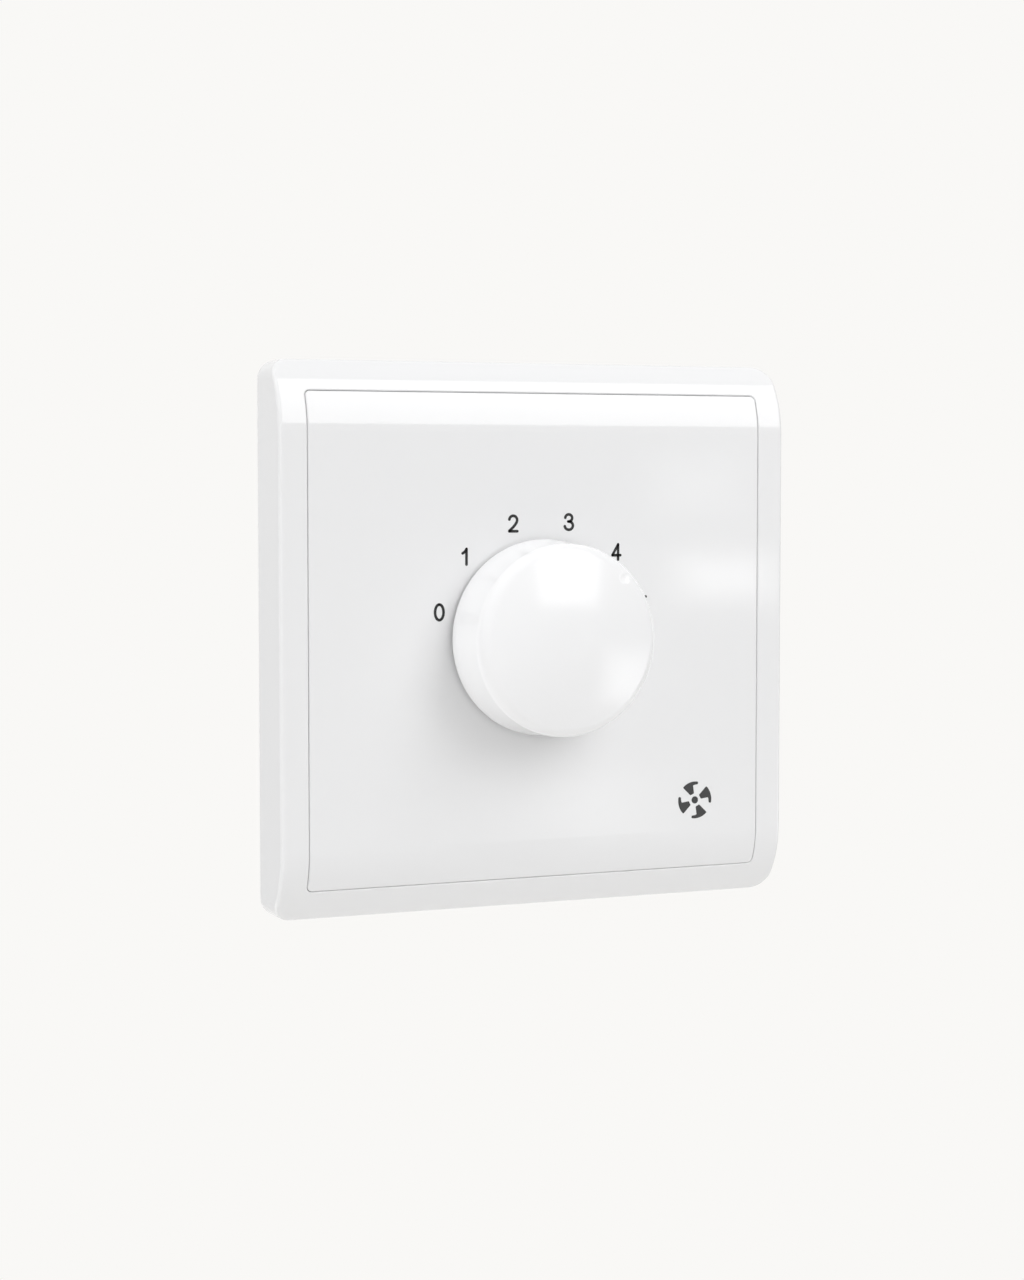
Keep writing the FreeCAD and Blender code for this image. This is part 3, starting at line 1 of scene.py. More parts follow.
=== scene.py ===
"""Looks of a stepped fan speed control: its finishes, its printed scale and a studio stage.

The file is laid out as a Blender add-on and run as a script. Lengths are in metres, in the part's own
frame: X to the right and Z up as seen facing the plate, Y into the wall, with the wall plane at Y = 0.
"""
import bpy
import math
import numpy as np
from bpy.props import FloatProperty, FloatVectorProperty, PointerProperty
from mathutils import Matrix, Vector


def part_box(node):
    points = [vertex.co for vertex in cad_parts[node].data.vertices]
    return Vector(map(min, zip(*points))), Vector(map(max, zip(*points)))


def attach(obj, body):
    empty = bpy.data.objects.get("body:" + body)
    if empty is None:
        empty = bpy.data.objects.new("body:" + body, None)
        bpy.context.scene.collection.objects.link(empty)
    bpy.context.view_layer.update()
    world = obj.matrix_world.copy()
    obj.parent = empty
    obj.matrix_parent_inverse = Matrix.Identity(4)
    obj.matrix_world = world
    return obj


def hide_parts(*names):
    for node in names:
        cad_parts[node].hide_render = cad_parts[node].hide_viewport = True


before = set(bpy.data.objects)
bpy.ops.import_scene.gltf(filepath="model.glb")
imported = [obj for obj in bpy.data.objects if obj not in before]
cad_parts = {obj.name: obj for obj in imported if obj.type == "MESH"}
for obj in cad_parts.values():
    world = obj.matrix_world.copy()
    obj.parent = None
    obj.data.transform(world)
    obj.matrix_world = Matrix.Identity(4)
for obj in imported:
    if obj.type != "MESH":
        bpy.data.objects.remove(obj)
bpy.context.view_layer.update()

bl_info = {
    "name": "Fan Speed Control",
    "version": (1, 0, 0),
    "blender": (4, 5, 0),
    "location": "3D View > Sidebar > Fan Control",
    "description": "Finishes, printed scale and studio stage of a stepped fan speed control",
    "category": "Object",
}

MM = 0.001
PANEL_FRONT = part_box("face_panel")[0].y


# Settings

def length(name, description, millimetres):
    """A length property, given in millimetres and kept in metres."""
    return FloatProperty(name=name, description=description, default=millimetres * MM, unit="LENGTH",
                         precision=5)


def angle(name, description, degrees):
    """An angle property, given in degrees and kept in radians."""
    return FloatProperty(name=name, description=description, default=math.radians(degrees), subtype="ANGLE")


def factor(name, description, value):
    """A property for a share from 0 to 1."""
    return FloatProperty(name=name, description=description, default=value, subtype="FACTOR", min=0.0,
                         max=1.0)


def colour(name, description, rgb):
    """A property for a colour, in linear red, green and blue."""
    return FloatVectorProperty(name=name, description=description, default=rgb, subtype="COLOR", size=3,
                               min=0.0, max=1.0)


def place(name, description, millimetres):
    """A property for a point, given in millimetres and kept in metres."""
    metres = [value * MM for value in millimetres]
    return FloatVectorProperty(name=name, description=description, default=metres, subtype="TRANSLATION",
                               size=3, unit="LENGTH")


class PrintSettings(bpy.types.PropertyGroup):
    """Sizes and inks of the scale and the fan symbol printed on the panel."""
    scale_x: length("Scale X", "Centre of the numbers' circle to the right of the knob's axis", 0.27)
    scale_z: length("Scale Z", "Centre of the numbers' circle above the knob's axis", 0.74)
    scale_radius: length("Scale radius", "Radius of the circle that the numbers stand on", 17.83)
    first_angle: angle("First angle", "Clockwise angle of the first number from the top", -78.7)
    step_angle: angle("Step angle", "Angle from one number to the next", 31.1)
    figure_height: length("Figure height", "Height of a number", 2.85)
    figure_width: length("Figure width", "Width of a number", 1.85)
    stroke: length("Stroke", "Width of a number's line", 0.44)
    film: length("Film", "Thickness of the printed film", 0.02)
    ink: colour("Ink", "Colour of the numbers", (0.004, 0.004, 0.005))
    symbol_x: length("Symbol X", "Centre of the fan symbol to the right of the knob's axis", 27.23)
    symbol_z: length("Symbol Z", "Centre of the fan symbol above the knob's axis", -27.08)
    symbol_radius: length("Symbol radius", "Outer radius of the fan symbol", 3.0)
    symbol_ink: colour("Symbol ink", "Colour of the fan symbol", (0.03, 0.03, 0.031))


class KnobSettings(bpy.types.PropertyGroup):
    """Section of the knob; its base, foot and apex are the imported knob's own."""
    rim_radius: length("Rim radius", "Radius where the grip meets the dome", 14.95)
    rim_height: length("Rim height", "Height of that meeting line above the panel", 10.8)
    waist: length("Waist", "How far the grip draws in halfway up", 0.2)
    edge_radius: length("Edge radius", "Rounding between the grip and the dome", 2.4)
    foot_radius: length("Foot radius", "Rounding of the grip's foot", 0.3)
    wall: length("Wall", "Thickness of the hollow cap", 1.7)
    boss_radius: length("Boss radius", "Radius of the boss on the spindle", 5.35)
    boss_inset: length("Boss inset", "How far the boss stops short of the grip's foot", 0.5)
    bore_radius: length("Bore radius", "Radius of the bore in the boss", 3.05)
    index_angle: angle("Index angle", "Clockwise angle of the index dimple from the top", 43.8)
    index_radial: length("Index place", "Distance of the index dimple from the axis", 13.1)
    index_radius: length("Index radius", "Radius of the index dimple", 0.85)
    index_depth: length("Index depth", "Depth of the index dimple", 0.25)
    index_lip: length("Index lip", "Rounding of the dimple's lip", 0.15)


class FinishSettings(bpy.types.PropertyGroup):
    """Colours and gloss of the moulded, metal and circuit pieces."""
    front_white: colour("Front white", "Plastic of the frame and the panel", (0.828, 0.83, 0.837))
    front_roughness: factor("Front roughness", "Gloss of the frame and the panel", 0.06)
    knob_white: colour("Knob white", "Plastic of the knob", (0.883, 0.885, 0.893))
    knob_roughness: factor("Knob roughness", "Gloss of the knob", 0.16)
    # Painted highlight: the index dimple is painted whiter than the knob's own white so that it shows as a
    # bright spot.
    index_painted_highlight: colour("Index painted highlight", "Paint in the index dimple", (0.928, 0.93, 0.937))
    plate_white: colour("Plate white", "Plastic of the mounting plate", (0.72, 0.72, 0.7))
    housing_grey: colour("Housing grey", "Plastic of the rear housing", (0.028, 0.029, 0.031))
    switch_brown: colour("Switch brown", "Moulding of the rotary switch", (0.016, 0.012, 0.01))
    zinc: colour("Zinc", "Plated steel and cast zinc", (0.56, 0.57, 0.58))
    steel_tarnish: colour("Steel tarnish", "Stains on plated steel", (0.4, 0.4, 0.36))
    zinc_tarnish: colour("Zinc tarnish", "Stains on cast zinc", (0.33, 0.33, 0.34))
    brass: colour("Brass", "Terminals and contacts", (0.71, 0.5, 0.2))
    brass_tarnish: colour("Brass tarnish", "Stains on brass", (0.42, 0.25, 0.08))
    board_brown: colour("Board brown", "Laminate of the circuit board", (0.3, 0.17, 0.06))
    capacitor_buff: colour("Capacitor buff", "Cases of the capacitors", (0.5, 0.46, 0.36))
    resistor_tan: colour("Resistor tan", "Lacquer of the resistors", (0.36, 0.28, 0.19))


class StageSettings(bpy.types.PropertyGroup):
    """Camera, background, dark flags and floor."""
    camera_place: place("Camera place", "Where the camera stands", (-165.61, -381.29, 25.29))
    camera_aim: place("Camera aim", "Point that the camera looks at", (-0.44, 0.12, -1.07))
    lens: FloatProperty(name="Lens", description="Focal length on a 36 mm sensor", default=72.91,
                        unit="CAMERA")
    background: colour("Background", "Pale background and floor", (0.947, 0.939, 0.922))
    ambient: factor("Ambient", "Light from all round", 0.55)
    left_flag: angle("Left flag", "Azimuth of the dark flag on the left, from the plate's normal", -120.0)
    right_flag: angle("Right flag", "Azimuth of the dark flag on the right, from the plate's normal", 95.0)
    flag_elevation: angle("Flag elevation", "Angle of the dark flags above the knob's axis", -20.0)
    flag_light: factor("Flag light", "Share of the background's light that the dark flags send back", 0.3)
    floor_drop: length("Floor drop", "How far the floor lies below the knob's axis", 300.0)
    floor_radius: length("Floor radius", "Radius of the round floor", 600.0)


class FanControlSettings(bpy.types.PropertyGroup):
    """All settings of the part."""
    print_: PointerProperty(type=PrintSettings, name="Print", description="Printed scale and symbol")
    knob: PointerProperty(type=KnobSettings, name="Knob", description="Section of the knob")
    finish: PointerProperty(type=FinishSettings, name="Finish", description="Colours and gloss")
    stage: PointerProperty(type=StageSettings, name="Stage", description="Camera, background and floor")


# Meshes from whole arrays

def grid_faces(rows, columns):
    """Quads of a grid that is numbered row by row, with its last column joined to its first."""
    row, column = np.meshgrid(np.arange(rows - 1), np.arange(columns), indexing="ij")
    after = (column + 1) % columns
    corners = [row * columns + column, row * columns + after, (row + 1) * columns + after,
               (row + 1) * columns + column]
    return np.stack(corners, axis=-1).reshape(-1, 4)


def closed_film(outline, thickness, wrap=False):
    """A film on the panel from a grid of (x, z) points: the grid at its front and back, with walls between.

    The grid is rows by columns by 2. Its section across the columns is the closed loop front-left,
    front-right, back-right, back-left, carried along the rows; a wrapped film closes on itself.
    """
    rows, columns = outline.shape[:2]
    loop = np.concatenate([outline, outline[:, ::-1]], axis=1)
    points = np.empty((rows, 2 * columns, 3))
    points[..., 0] = loop[..., 0]
    points[..., 1] = np.repeat([PANEL_FRONT - thickness, PANEL_FRONT], columns)
    points[..., 2] = loop[..., 1]
    faces = grid_faces(rows, 2 * columns)
    if wrap:
        last = (rows - 1) * 2 * columns
        seam = grid_faces(2, 2 * columns)
        seam = np.where(seam < 2 * columns, seam + last, seam - 2 * columns)
        return points.reshape(-1, 3), np.concatenate([faces, seam])
    half = np.arange(columns - 1)
    cap = np.stack([half, 2 * columns - 1 - half, 2 * columns - 2 - half, half + 1], axis=-1)
    end_cap = cap[:, ::-1] + (rows - 1) * 2 * columns
    return points.reshape(-1, 3), np.concatenate([faces, cap, end_cap])


def merged(parts):
    """Several (points, faces) as one."""
    points, faces, count = [], [], 0
    for part_points, part_faces in parts:
        points.append(part_points)
        faces.append(part_faces + count)
        count += len(part_points)
    return np.concatenate(points), np.concatenate(faces)


def new_piece(name, points, faces, material, body):
    """A mesh object at the origin that rides on a body."""
    mesh = bpy.data.meshes.new(name)
    mesh.from_pydata(points.tolist(), [], [list(face) for face in faces])
    mesh.validate()
    mesh.materials.append(material)
    piece = bpy.data.objects.new(name, mesh)
    bpy.context.scene.collection.objects.link(piece)
    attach(piece, body)
    return piece


def shade_round(piece, sharp_angle):
    """Smooth shading, with edges that bend more than an angle kept sharp."""
    piece.data.polygons.foreach_set("use_smooth", np.ones(len(piece.data.polygons), bool))
    piece.data.set_sharp_from_angle(angle=sharp_angle)


# Printed numbers: a stroke's round end has points at these shares of its quarter turn

CAP_SHARES = np.linspace(0.1, 0.9, 6)


def ellipse_path(centre, radii, start, sweep, count=48):
    """Points on an ellipse from a start angle through a sweep, in degrees, anticlockwise from the right."""
    turn = np.radians(start + sweep * np.linspace(0.0, 1.0, count))
    return np.stack([centre[0] + radii[0] * np.cos(turn), centre[1] + radii[1] * np.sin(turn)], axis=-1)


def line_path(*corners):
    """Corners joined by straight lines."""
    return np.array(corners, float)


def curve_path(start, lean, end, count=24):
    """Points on a quadratic curve that leaves its start towards a lean point and reaches its end from it."""
    t = np.linspace(0.0, 1.0, count)[:, None]
    return (1 - t) ** 2 * np.array(start) + 2 * t * (1 - t) * np.array(lean) + t ** 2 * np.array(end)


def figure_strokes():
    """Centre lines of the figures 0 to 5 in a box from -0.5 to 0.5 each way."""
    two_bowl = ellipse_path((0.0, 0.22), (0.47, 0.28), 172.0, -196.0)
    two_fall = curve_path(two_bowl[-1], (0.3, -0.1), (-0.47, -0.48))
    return [
        [ellipse_path((0.0, 0.0), (0.5, 0.5), 90.0, 360.0)],
        [line_path((0.16, 0.5), (0.16, -0.5)), curve_path((-0.3, 0.22), (0.0, 0.3), (0.14, 0.48))],
        [np.concatenate([two_bowl, two_fall[1:]]), line_path((-0.47, -0.5), (0.5, -0.5))],
        [ellipse_path((-0.03, 0.27), (0.42, 0.23), 176.0, -266.0),
         ellipse_path((-0.02, -0.23), (0.5, 0.27), 98.0, -270.0)],
        [line_path((0.22, 0.5), (0.22, -0.5)), line_path((0.2, 0.47), (-0.47, -0.19)),
         line_path((-0.47, -0.21), (0.5, -0.21))],
        [line_path((-0.34, 0.5), (0.44, 0.5)), line_path((-0.34, 0.5), (-0.42, 0.02)),
         ellipse_path((-0.02, -0.17), (0.5, 0.33), 148.0, -318.0)],
    ]


def stroke_outline(path, width):
    """The two edges of a line of a width with round ends: each point moved half the width to either side.

    At an end, t from 0 to 1 goes from the tip to the path's first point. The points lie cos(t pi / 2) half
    widths beyond it, and the line is sin(t pi / 2) of its width there.
    """
    along = np.gradient(path, axis=0)
    along /= np.linalg.norm(along, axis=1, keepdims=True)
    turn = CAP_SHARES[:, None] * math.pi / 2
    start = path[0] - along[0] * np.cos(turn) * width / 2
    end = (path[-1] + along[-1] * np.cos(turn) * width / 2)[::-1]
    half = np.concatenate([np.sin(turn), np.ones((len(path), 1)), np.sin(turn)[::-1]]) * width / 2
    path = np.concatenate([start, path, end])
    along = np.concatenate([np.repeat(along[:1], len(turn), axis=0), along,
                            np.repeat(along[-1:], len(turn), axis=0)])
    across = np.stack([-along[:, 1], along[:, 0]], axis=-1) * half
    return np.stack([path + across, path - across], axis=1)


def figure_film(strokes, centre, settings):
    """One printed figure: its strokes scaled to the figure's size and set about a centre on the panel."""
    size = np.array([settings.figure_width - settings.stroke, settings.figure_height - settings.stroke])
    lines = [stroke_outline(stroke * size + centre, settings.stroke) for stroke in strokes]
    return merged([closed_film(line, settings.film) for line in lines])


def scale_film(settings):
    """The figures on their circle: at r (sin a, cos a) for clockwise angles a from the top, all upright."""
    middle = np.array([settings.scale_x, settings.scale_z])
    figures = []
    for number, strokes in enumerate(figure_strokes()):
        turn = settings.first_angle + settings.step_angle * number
        centre = middle + settings.scale_radius * np.array([math.sin(turn), math.cos(turn)])
        figures.append(figure_film(strokes, centre, settings))
    return merged(figures)


# Printed fan symbol: turns are in degrees, clockwise from the top, and lengths are shares of its radius

BLADE_COUNT = 4
BLADE_FIRST_TURN = -46.0
BLADE_SWEEP = 38.0
BLADE_HOOK_SWEEP = 20.0
BLADE_ROOT = 0.35
BLADE_HOOK_ROOT = 0.83
BLADE_HOOK_BLEND = 0.012
BLADE_CORNER = 0.06
BLADE_CORNER_POINTS = 8
BLADE_SIDE_POINTS = 60
BLADE_WIDTH_POINTS = 17
SHARE_DIGITS = 5
HUB_RADIUS = 0.195
HUB_EYE = 0.02
HUB_RINGS = 6
HUB_POINTS = 48


def polar_outline(radius, turn, settings):
    """Points (x, z) about the symbol's centre: r (sin a, cos a) for radii r and turns a."""
    a = np.radians(turn)
    return np.stack([settings.symbol_x + radius * np.sin(a), settings.symbol_z + radius * np.cos(a)],
                    axis=-1)


def corner_inset(share):
    """How far a blade's edge draws in at a share of the radius, for corners of a radius c at both its ends.

    With u from 0 to 1 across a corner, the edge of the quarter circle lies c (1 - sqrt(1 - u^2)) inside.
    """
    past_tip = (share - 1.0 + BLADE_CORNER) / BLADE_CORNER
    past_root = (BLADE_ROOT + BLADE_CORNER - share) / BLADE_CORNER
    u = np.clip(np.maximum(past_tip, past_root), 0.0, 1.0)
    return BLADE_CORNER * (1.0 - np.sqrt(1.0 - u ** 2))


def symbol_film(settings):
    """Four blades and a hub. A blade is a sector whose trailing edge runs on in a hook along the rim.

    At a share s of the radius a blade sweeps its own angle and 1 / (1 + exp((h - s) / b)) of the hook's, for
    a hook that starts at h with a blend b. Both its edges draw in at the corners.
    """
    corner = BLADE_CORNER * (1.0 - np.cos(np.linspace(0.0, math.pi / 2, BLADE_CORNER_POINTS)))
    side = np.linspace(BLADE_ROOT + BLADE_CORNER, 1.0 - BLADE_CORNER, BLADE_SIDE_POINTS)
    share = np.concatenate([BLADE_ROOT + corner, side, 1.0 - corner])
    share = np.unique(share.round(SHARE_DIGITS))[:, None]
    across = np.linspace(0.0, 1.0, BLADE_WIDTH_POINTS)[None, :]
    hook = 1.0 / (1.0 + np.exp((BLADE_HOOK_ROOT - share) / BLADE_HOOK_BLEND))
    inset = np.degrees(corner_inset(share) / share)
    sweep = inset + (BLADE_SWEEP + BLADE_HOOK_SWEEP * hook - 2 * inset) * across
    films = []
    for blade in range(BLADE_COUNT):
        turn = BLADE_FIRST_TURN + 360.0 / BLADE_COUNT * blade + sweep
        outline = polar_outline(share * settings.symbol_radius, turn, settings)
        films.append(closed_film(outline, settings.film))
    rings = HUB_RADIUS * settings.symbol_radius * np.linspace(1.0, HUB_EYE, HUB_RINGS)[:, None]
    hub_turn = np.linspace(0.0, 360.0, HUB_POINTS + 1)[None, :-1]
    hub = np.swapaxes(polar_outline(rings, hub_turn, settings), 0, 1)
    films.append(closed_film(hub, settings.film, wrap=True))
    return merged(films)


# Knob: heel room in foot radii, lip softness as a share of the lip, turns in radians

DOME_POINTS = 96
DOME_SIDE_POINT = -11
GRIP_POINTS = 40
GRIP_SIDE_POINT = 6
EDGE_POINTS = 24
HEEL_POINTS = 6
HEEL_ROOM = 1.2
POINT_GAP = 0.02 * MM
TURN_POINTS = 180
INDEX_TURN = 0.14
INDEX_TURN_GAP = 0.01
INDEX_TURN_POINTS = 57
LIP_SOFTNESS = 0.25
SHARP_ANGLE = math.radians(35.0)


def circle_through(first, middle, last):
    """Centre of the circle through three points (r, y)."""
    rows = 2 * np.array([middle - first, last - first])
    sides = np.array([middle @ middle - first @ first, last @ last - first @ first])
    return np.linalg.solve(rows, sides)


def arc_between(centre, first, last, count):
    """Points on a circle from one point to another, the short way round."""
    start, end = (np.arctan2(*(point - centre)[::-1]) for point in (first, last))
    sweep = (end - start + math.pi) % (2 * math.pi) - math.pi
    turn = start + sweep * np.linspace(0.0, 1.0, count)
    return centre + np.linalg.norm(first - centre) * np.stack([np.cos(turn), np.sin(turn)], axis=-1)


def rounded_corner(before, corner, after, radius, count):
    """Points of a fillet in a corner: tangent to the sides through it and centred on their bisector."""
    towards_before = (before - corner) / np.linalg.norm(before - corner)
    towards_after = (after - corner) / np.linalg.norm(after - corner)
    half = math.acos(np.clip(towards_before @ towards_after, -1.0, 1.0)) / 2
    bisector = towards_before + towards_after
    centre = corner + bisector / np.linalg.norm(bisector) * radius / math.sin(half)
    reach = radius / math.tan(half)
    return arc_between(centre, corner + towards_before * reach, corner + towards_after * reach, count)


def knob_section(settings):
    """Closed half section (r, y): from the apex over the dome and down the grip, then back inside.

    The dome is a circle through the apex and the rim, the grip a circle through the rim, the waist and the
    foot. Both run to where the fillet between them starts. Its sides run from the rim through the side point
    of each.
    """
    low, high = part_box("knob")
    base, foot, top = high.x, high.y, low.y
    rim_y = PANEL_FRONT - settings.rim_height
    apex = np.array([0.0, top])
    rim = np.array([settings.rim_radius, rim_y])
    heel = np.array([base, foot])
    waist = (rim + heel) / 2 - np.array([settings.waist, 0.0])
    dome = arc_between(circle_through(apex, rim, rim * np.array([-1.0, 1.0])), apex, rim, DOME_POINTS)
    grip = arc_between(circle_through(rim, waist, heel), rim, heel, GRIP_POINTS)
    edge = rounded_corner(dome[DOME_SIDE_POINT], rim, grip[GRIP_SIDE_POINT], settings.edge_radius,
                          EDGE_POINTS)
    dome = dome[dome[:, 0] < edge[0, 0] - POINT_GAP]
    before_heel = grip[:, 1] < foot - settings.foot_radius * HEEL_ROOM
    grip = grip[(grip[:, 1] > edge[-1, 1] + POINT_GAP) & before_heel]
    room = min(base, settings.rim_radius) - settings.waist - settings.wall
    roof = rim_y + settings.wall
    boss_end = foot - settings.boss_inset
    bore_end = top + settings.wall
    heel_edge = rounded_corner(grip[-1], heel, np.array([room, foot]), settings.foot_radius, HEEL_POINTS)
    inside = np.array([[room, foot], [room, roof], [settings.boss_radius, roof],
                       [settings.boss_radius, boss_end], [settings.bore_radius, boss_end],
                       [settings.bore_radius, bore_end], [0.0, bore_end]])
    return np.concatenate([dome, edge, grip, heel_edge, inside])


def from_index(points, settings):
    """Distance of points from the axis of the index dimple, which is parallel to the knob's."""
    across = settings.index_radial * math.sin(settings.index_angle)
    up = settings.index_radial * math.cos(settings.index_angle)
    return np.hypot(points[..., 0] - across, points[..., 2] - up)


def index_centre(points, settings):
    """The frontmost of the knob's points in the inner half of the index dimple."""
    near = points[from_index(points, settings) < settings.index_radius / 2]
    return near[np.argmin(near[:, 1])]


def knob_surface(settings):
    """The section turned about the Y axis, with the index dimple pressed into the dome.

    Points are (r sin a, y, r cos a) for clockwise angles a, which stand closer near the dimple. The dimple
    lowers a point at a distance d from its middle by depth * (1 - (d / radius)^2), blended out at its lip.
    """
    section = knob_section(settings)
    even = np.linspace(-math.pi, math.pi, TURN_POINTS + 1)[:-1]
    even = even[np.abs(even) > INDEX_TURN + INDEX_TURN_GAP]
    close = np.linspace(-INDEX_TURN, INDEX_TURN, INDEX_TURN_POINTS)
    turn = np.unique(np.concatenate([even, close])) + settings.index_angle
    radius = section[1:-1, 0][:, None]
    depth = np.repeat(section[1:-1, 1][:, None], len(turn), axis=1)
    points = np.stack([radius * np.sin(turn), depth, radius * np.cos(turn)], axis=-1)
    on_dome = points[..., 1] < PANEL_FRONT - settings.rim_height
    sink = settings.index_depth * (1.0 - (from_index(points, settings) / settings.index_radius) ** 2)
    soft = settings.index_lip * LIP_SOFTNESS
    points[..., 1] += np.where(on_dome, soft * np.logaddexp(0.0, sink / soft), 0.0)
    rows, columns = points.shape[:2]
    count = rows * columns
    last_ring = count - columns
    ends = np.array([[0.0, section[0, 1], 0.0], [0.0, section[-1, 1], 0.0]])
    ring = np.arange(columns)
    after = (ring + 1) % columns
    front_cap = np.stack([np.full(columns, count), after, ring], axis=-1)
    back_cap = np.stack([np.full(columns, count + 1), ring + last_ring, after + last_ring], axis=-1)
    quads = grid_faces(rows, columns)
    faces = quads.tolist() + front_cap.tolist() + back_cap.tolist()
    return np.concatenate([points.reshape(-1, 3), ends]), faces


# Shader nodes

def feed(tree, socket, value):
    """Set a socket to a plain value, or link another socket to it."""
    if isinstance(value, bpy.types.NodeSocket):
        tree.links.new(value, socket)
    else:
        socket.default_value = value


def feed_inputs(tree, node, values):
    """Feed a node's inputs by name; an underscore in a name stands for a space."""
    for name, value in values.items():
        feed(tree, node.inputs[name.replace("_", " ")], value)


def add_node(tree, kind, **values):
    """A node with some of its inputs fed."""
    node = tree.nodes.new(kind)
    feed_inputs(tree, node, values)
    return node


def add_group(tree, group, **values):
    """A group placed in a tree with its own values."""
    node = tree.nodes.new("ShaderNodeGroup")
    node.node_tree = group
    feed_inputs(tree, node, values)
    return node


def object_coordinates(tree):
    """Places in the part's own frame."""
    return tree.nodes.new("ShaderNodeTexCoord").outputs["Object"]


def noise(tree, coordinates, scale, detail):
    """A noise texture on given coordinates; the scale counts features in a metre."""
    node = add_node(tree, "ShaderNodeTexNoise", Vector=coordinates, Scale=scale, Detail=detail)
    return node.outputs["Fac"]


def remap(tree, source, low, high, from_low=0.0, from_high=1.0):
    """A value from one range, cut off at its ends, spread over the range from low to high."""
    node = add_node(tree, "ShaderNodeMapRange", Value=source, From_Min=from_low, From_Max=from_high,
                    To_Min=low, To_Max=high)
    return node.outputs["Result"]


def math_node(tree, kind, operation, values):
    """A math node of a kind, with its first inputs fed in order."""
    node = tree.nodes.new(kind)
    node.operation = operation
    for socket, value in zip(node.inputs, values):
        feed(tree, socket, value)
    return node


def arithmetic(tree, operation, first, second):
    """A number worked out from two."""
    return math_node(tree, "ShaderNodeMath", operation, (first, second)).outputs["Value"]


def measure(tree, operation, *vectors):
    """A number worked out from vectors, such as a length or a dot product."""
    return math_node(tree, "ShaderNodeVectorMath", operation, vectors).outputs["Value"]


def mixed_colour(tree, share, first, second, blend="MIX"):
    """Two colours mixed by a share; each is a socket or a plain colour."""
    node = tree.nodes.new("ShaderNodeMix")
    node.data_type = "RGBA"
    node.blend_type = blend
    named = {socket.identifier: socket for socket in node.inputs}
    for identifier, value in (("Factor_Float", share), ("A_Color", first), ("B_Color", second)):
        feed(tree, named[identifier], value)
    return {socket.identifier: socket for socket in node.outputs}["Result_Color"]


def opaque(rgb):
    """A colour with an alpha of 1."""
    return (*rgb, 1.0)


# Shader groups

COLOUR, NUMBER, VECTOR = "NodeSocketColor", "NodeSocketFloat", "NodeSocketVector"
SURFACE_OUTPUTS = {"Colour": COLOUR, "Roughness": NUMBER, "Height": NUMBER}
STAIN_LOW = -0.35
STAIN_HIGH = 0.75
DRAWN_OUT = (0.06, 1.0, 1.0)
SPOT_RIM = 1.1


def shared_group(name, build):
    """A shader group by its name, built the first time that it is asked for."""
    return bpy.data.node_groups.get(name) or build(name)


def new_group(name, inputs, outputs):
    """An empty shader group with named sockets, and its input and output nodes."""
    group = bpy.data.node_groups.new(name, "ShaderNodeTree")
    for in_out, sockets in (("INPUT", inputs), ("OUTPUT", outputs)):
        for socket_name, kind in sockets.items():
            group.interface.new_socket(socket_name, in_out=in_out, socket_type=kind)
    return group, group.nodes.new("NodeGroupInput").outputs, group.nodes.new("NodeGroupOutput")


def spread_about(group, texture, middle, spread):
    """The middle value, raised and lowered by a texture: middle + spread * (texture - 1/2) * 2."""
    swing = remap(group, texture, -1.0, 1.0)
    return arithmetic(group, "ADD", middle, arithmetic(group, "MULTIPLY", swing, spread))


def moulded_group(name):
    """Moulded plastic: faint flow mottling in the colour, handling smudges in the gloss, fine grain."""
    group, given, result = new_group(name, {"Colour": COLOUR, "Mottle": NUMBER, "Roughness": NUMBER,
                                            "Smudge": NUMBER, "Grain Scale": NUMBER}, SURFACE_OUTPUTS)
    where = object_coordinates(group)
    flow = noise(group, where, scale=45.0, detail=3.0)
    smears = noise(group, where, scale=120.0, detail=4.0)
    shade = spread_about(group, flow, 1.0, given["Mottle"])
    feed_inputs(group, result, {
        "Colour": mixed_colour(group, 1.0, given["Colour"], shade, "MULTIPLY"),
        "Roughness": spread_about(group, smears, given["Roughness"], given["Smudge"]),
        "Height": noise(group, where, scale=given["Grain Scale"], detail=3.0)})
    return group


def metal_group(name):
    """Worked metal: fine lines drawn out along X in the gloss and the relief, some tarnish in the colour."""
    group, given, result = new_group(name, {"Colour": COLOUR, "Tarnish": COLOUR, "Roughness": NUMBER,
                                            "Spread": NUMBER, "Line Scale": NUMBER}, SURFACE_OUTPUTS)
    where = object_coordinates(group)
    stains = remap(group, noise(group, where, scale=260.0, detail=4.0), STAIN_LOW, STAIN_HIGH)
    drawn = add_node(group, "ShaderNodeMapping", Vector=where, Scale=DRAWN_OUT).outputs["Vector"]
    lines = noise(group, drawn, scale=given["Line Scale"], detail=3.0)
    feed_inputs(group, result, {
        "Colour": mixed_colour(group, stains, given["Colour"], given["Tarnish"]),
        "Roughness": spread_about(group, lines, given["Roughness"], given["Spread"]),
        "Height": lines})
    return group


def spot_group(name):
    """Mask of a round spot, here the painted highlight in the index dimple: 1 within the radius about the
    centre, 0 a tenth of the radius farther out.
    """
    group, given, result = new_group(name, {"Centre": VECTOR, "Radius": NUMBER}, {"Mask": NUMBER})
    away = measure(group, "DISTANCE", object_coordinates(group), given["Centre"])
    share = arithmetic(group, "DIVIDE", away, given["Radius"])
    feed(group, result.inputs["Mask"], remap(group, share, 1.0, 0.0, from_low=1.0, from_high=SPOT_RIM))
    return group


# Materials

def surface_material(name, group, bump, **values):
    """A material whose colour, gloss and fine relief come from a group; bump is the relief's depth."""
    material = bpy.data.materials.new(name)
    material.use_nodes = True
    tree = material.node_tree
    surface = add_group(tree, group, **values).outputs
    relief = add_node(tree, "ShaderNodeBump", Strength=1.0, Distance=bump, Height=surface["Height"])
    feed_inputs(tree, tree.nodes["Principled BSDF"], {
        "Base Color": surface["Colour"],
        "Roughness": surface["Roughness"],
        "Normal": relief.outputs["Normal"]})
    return material


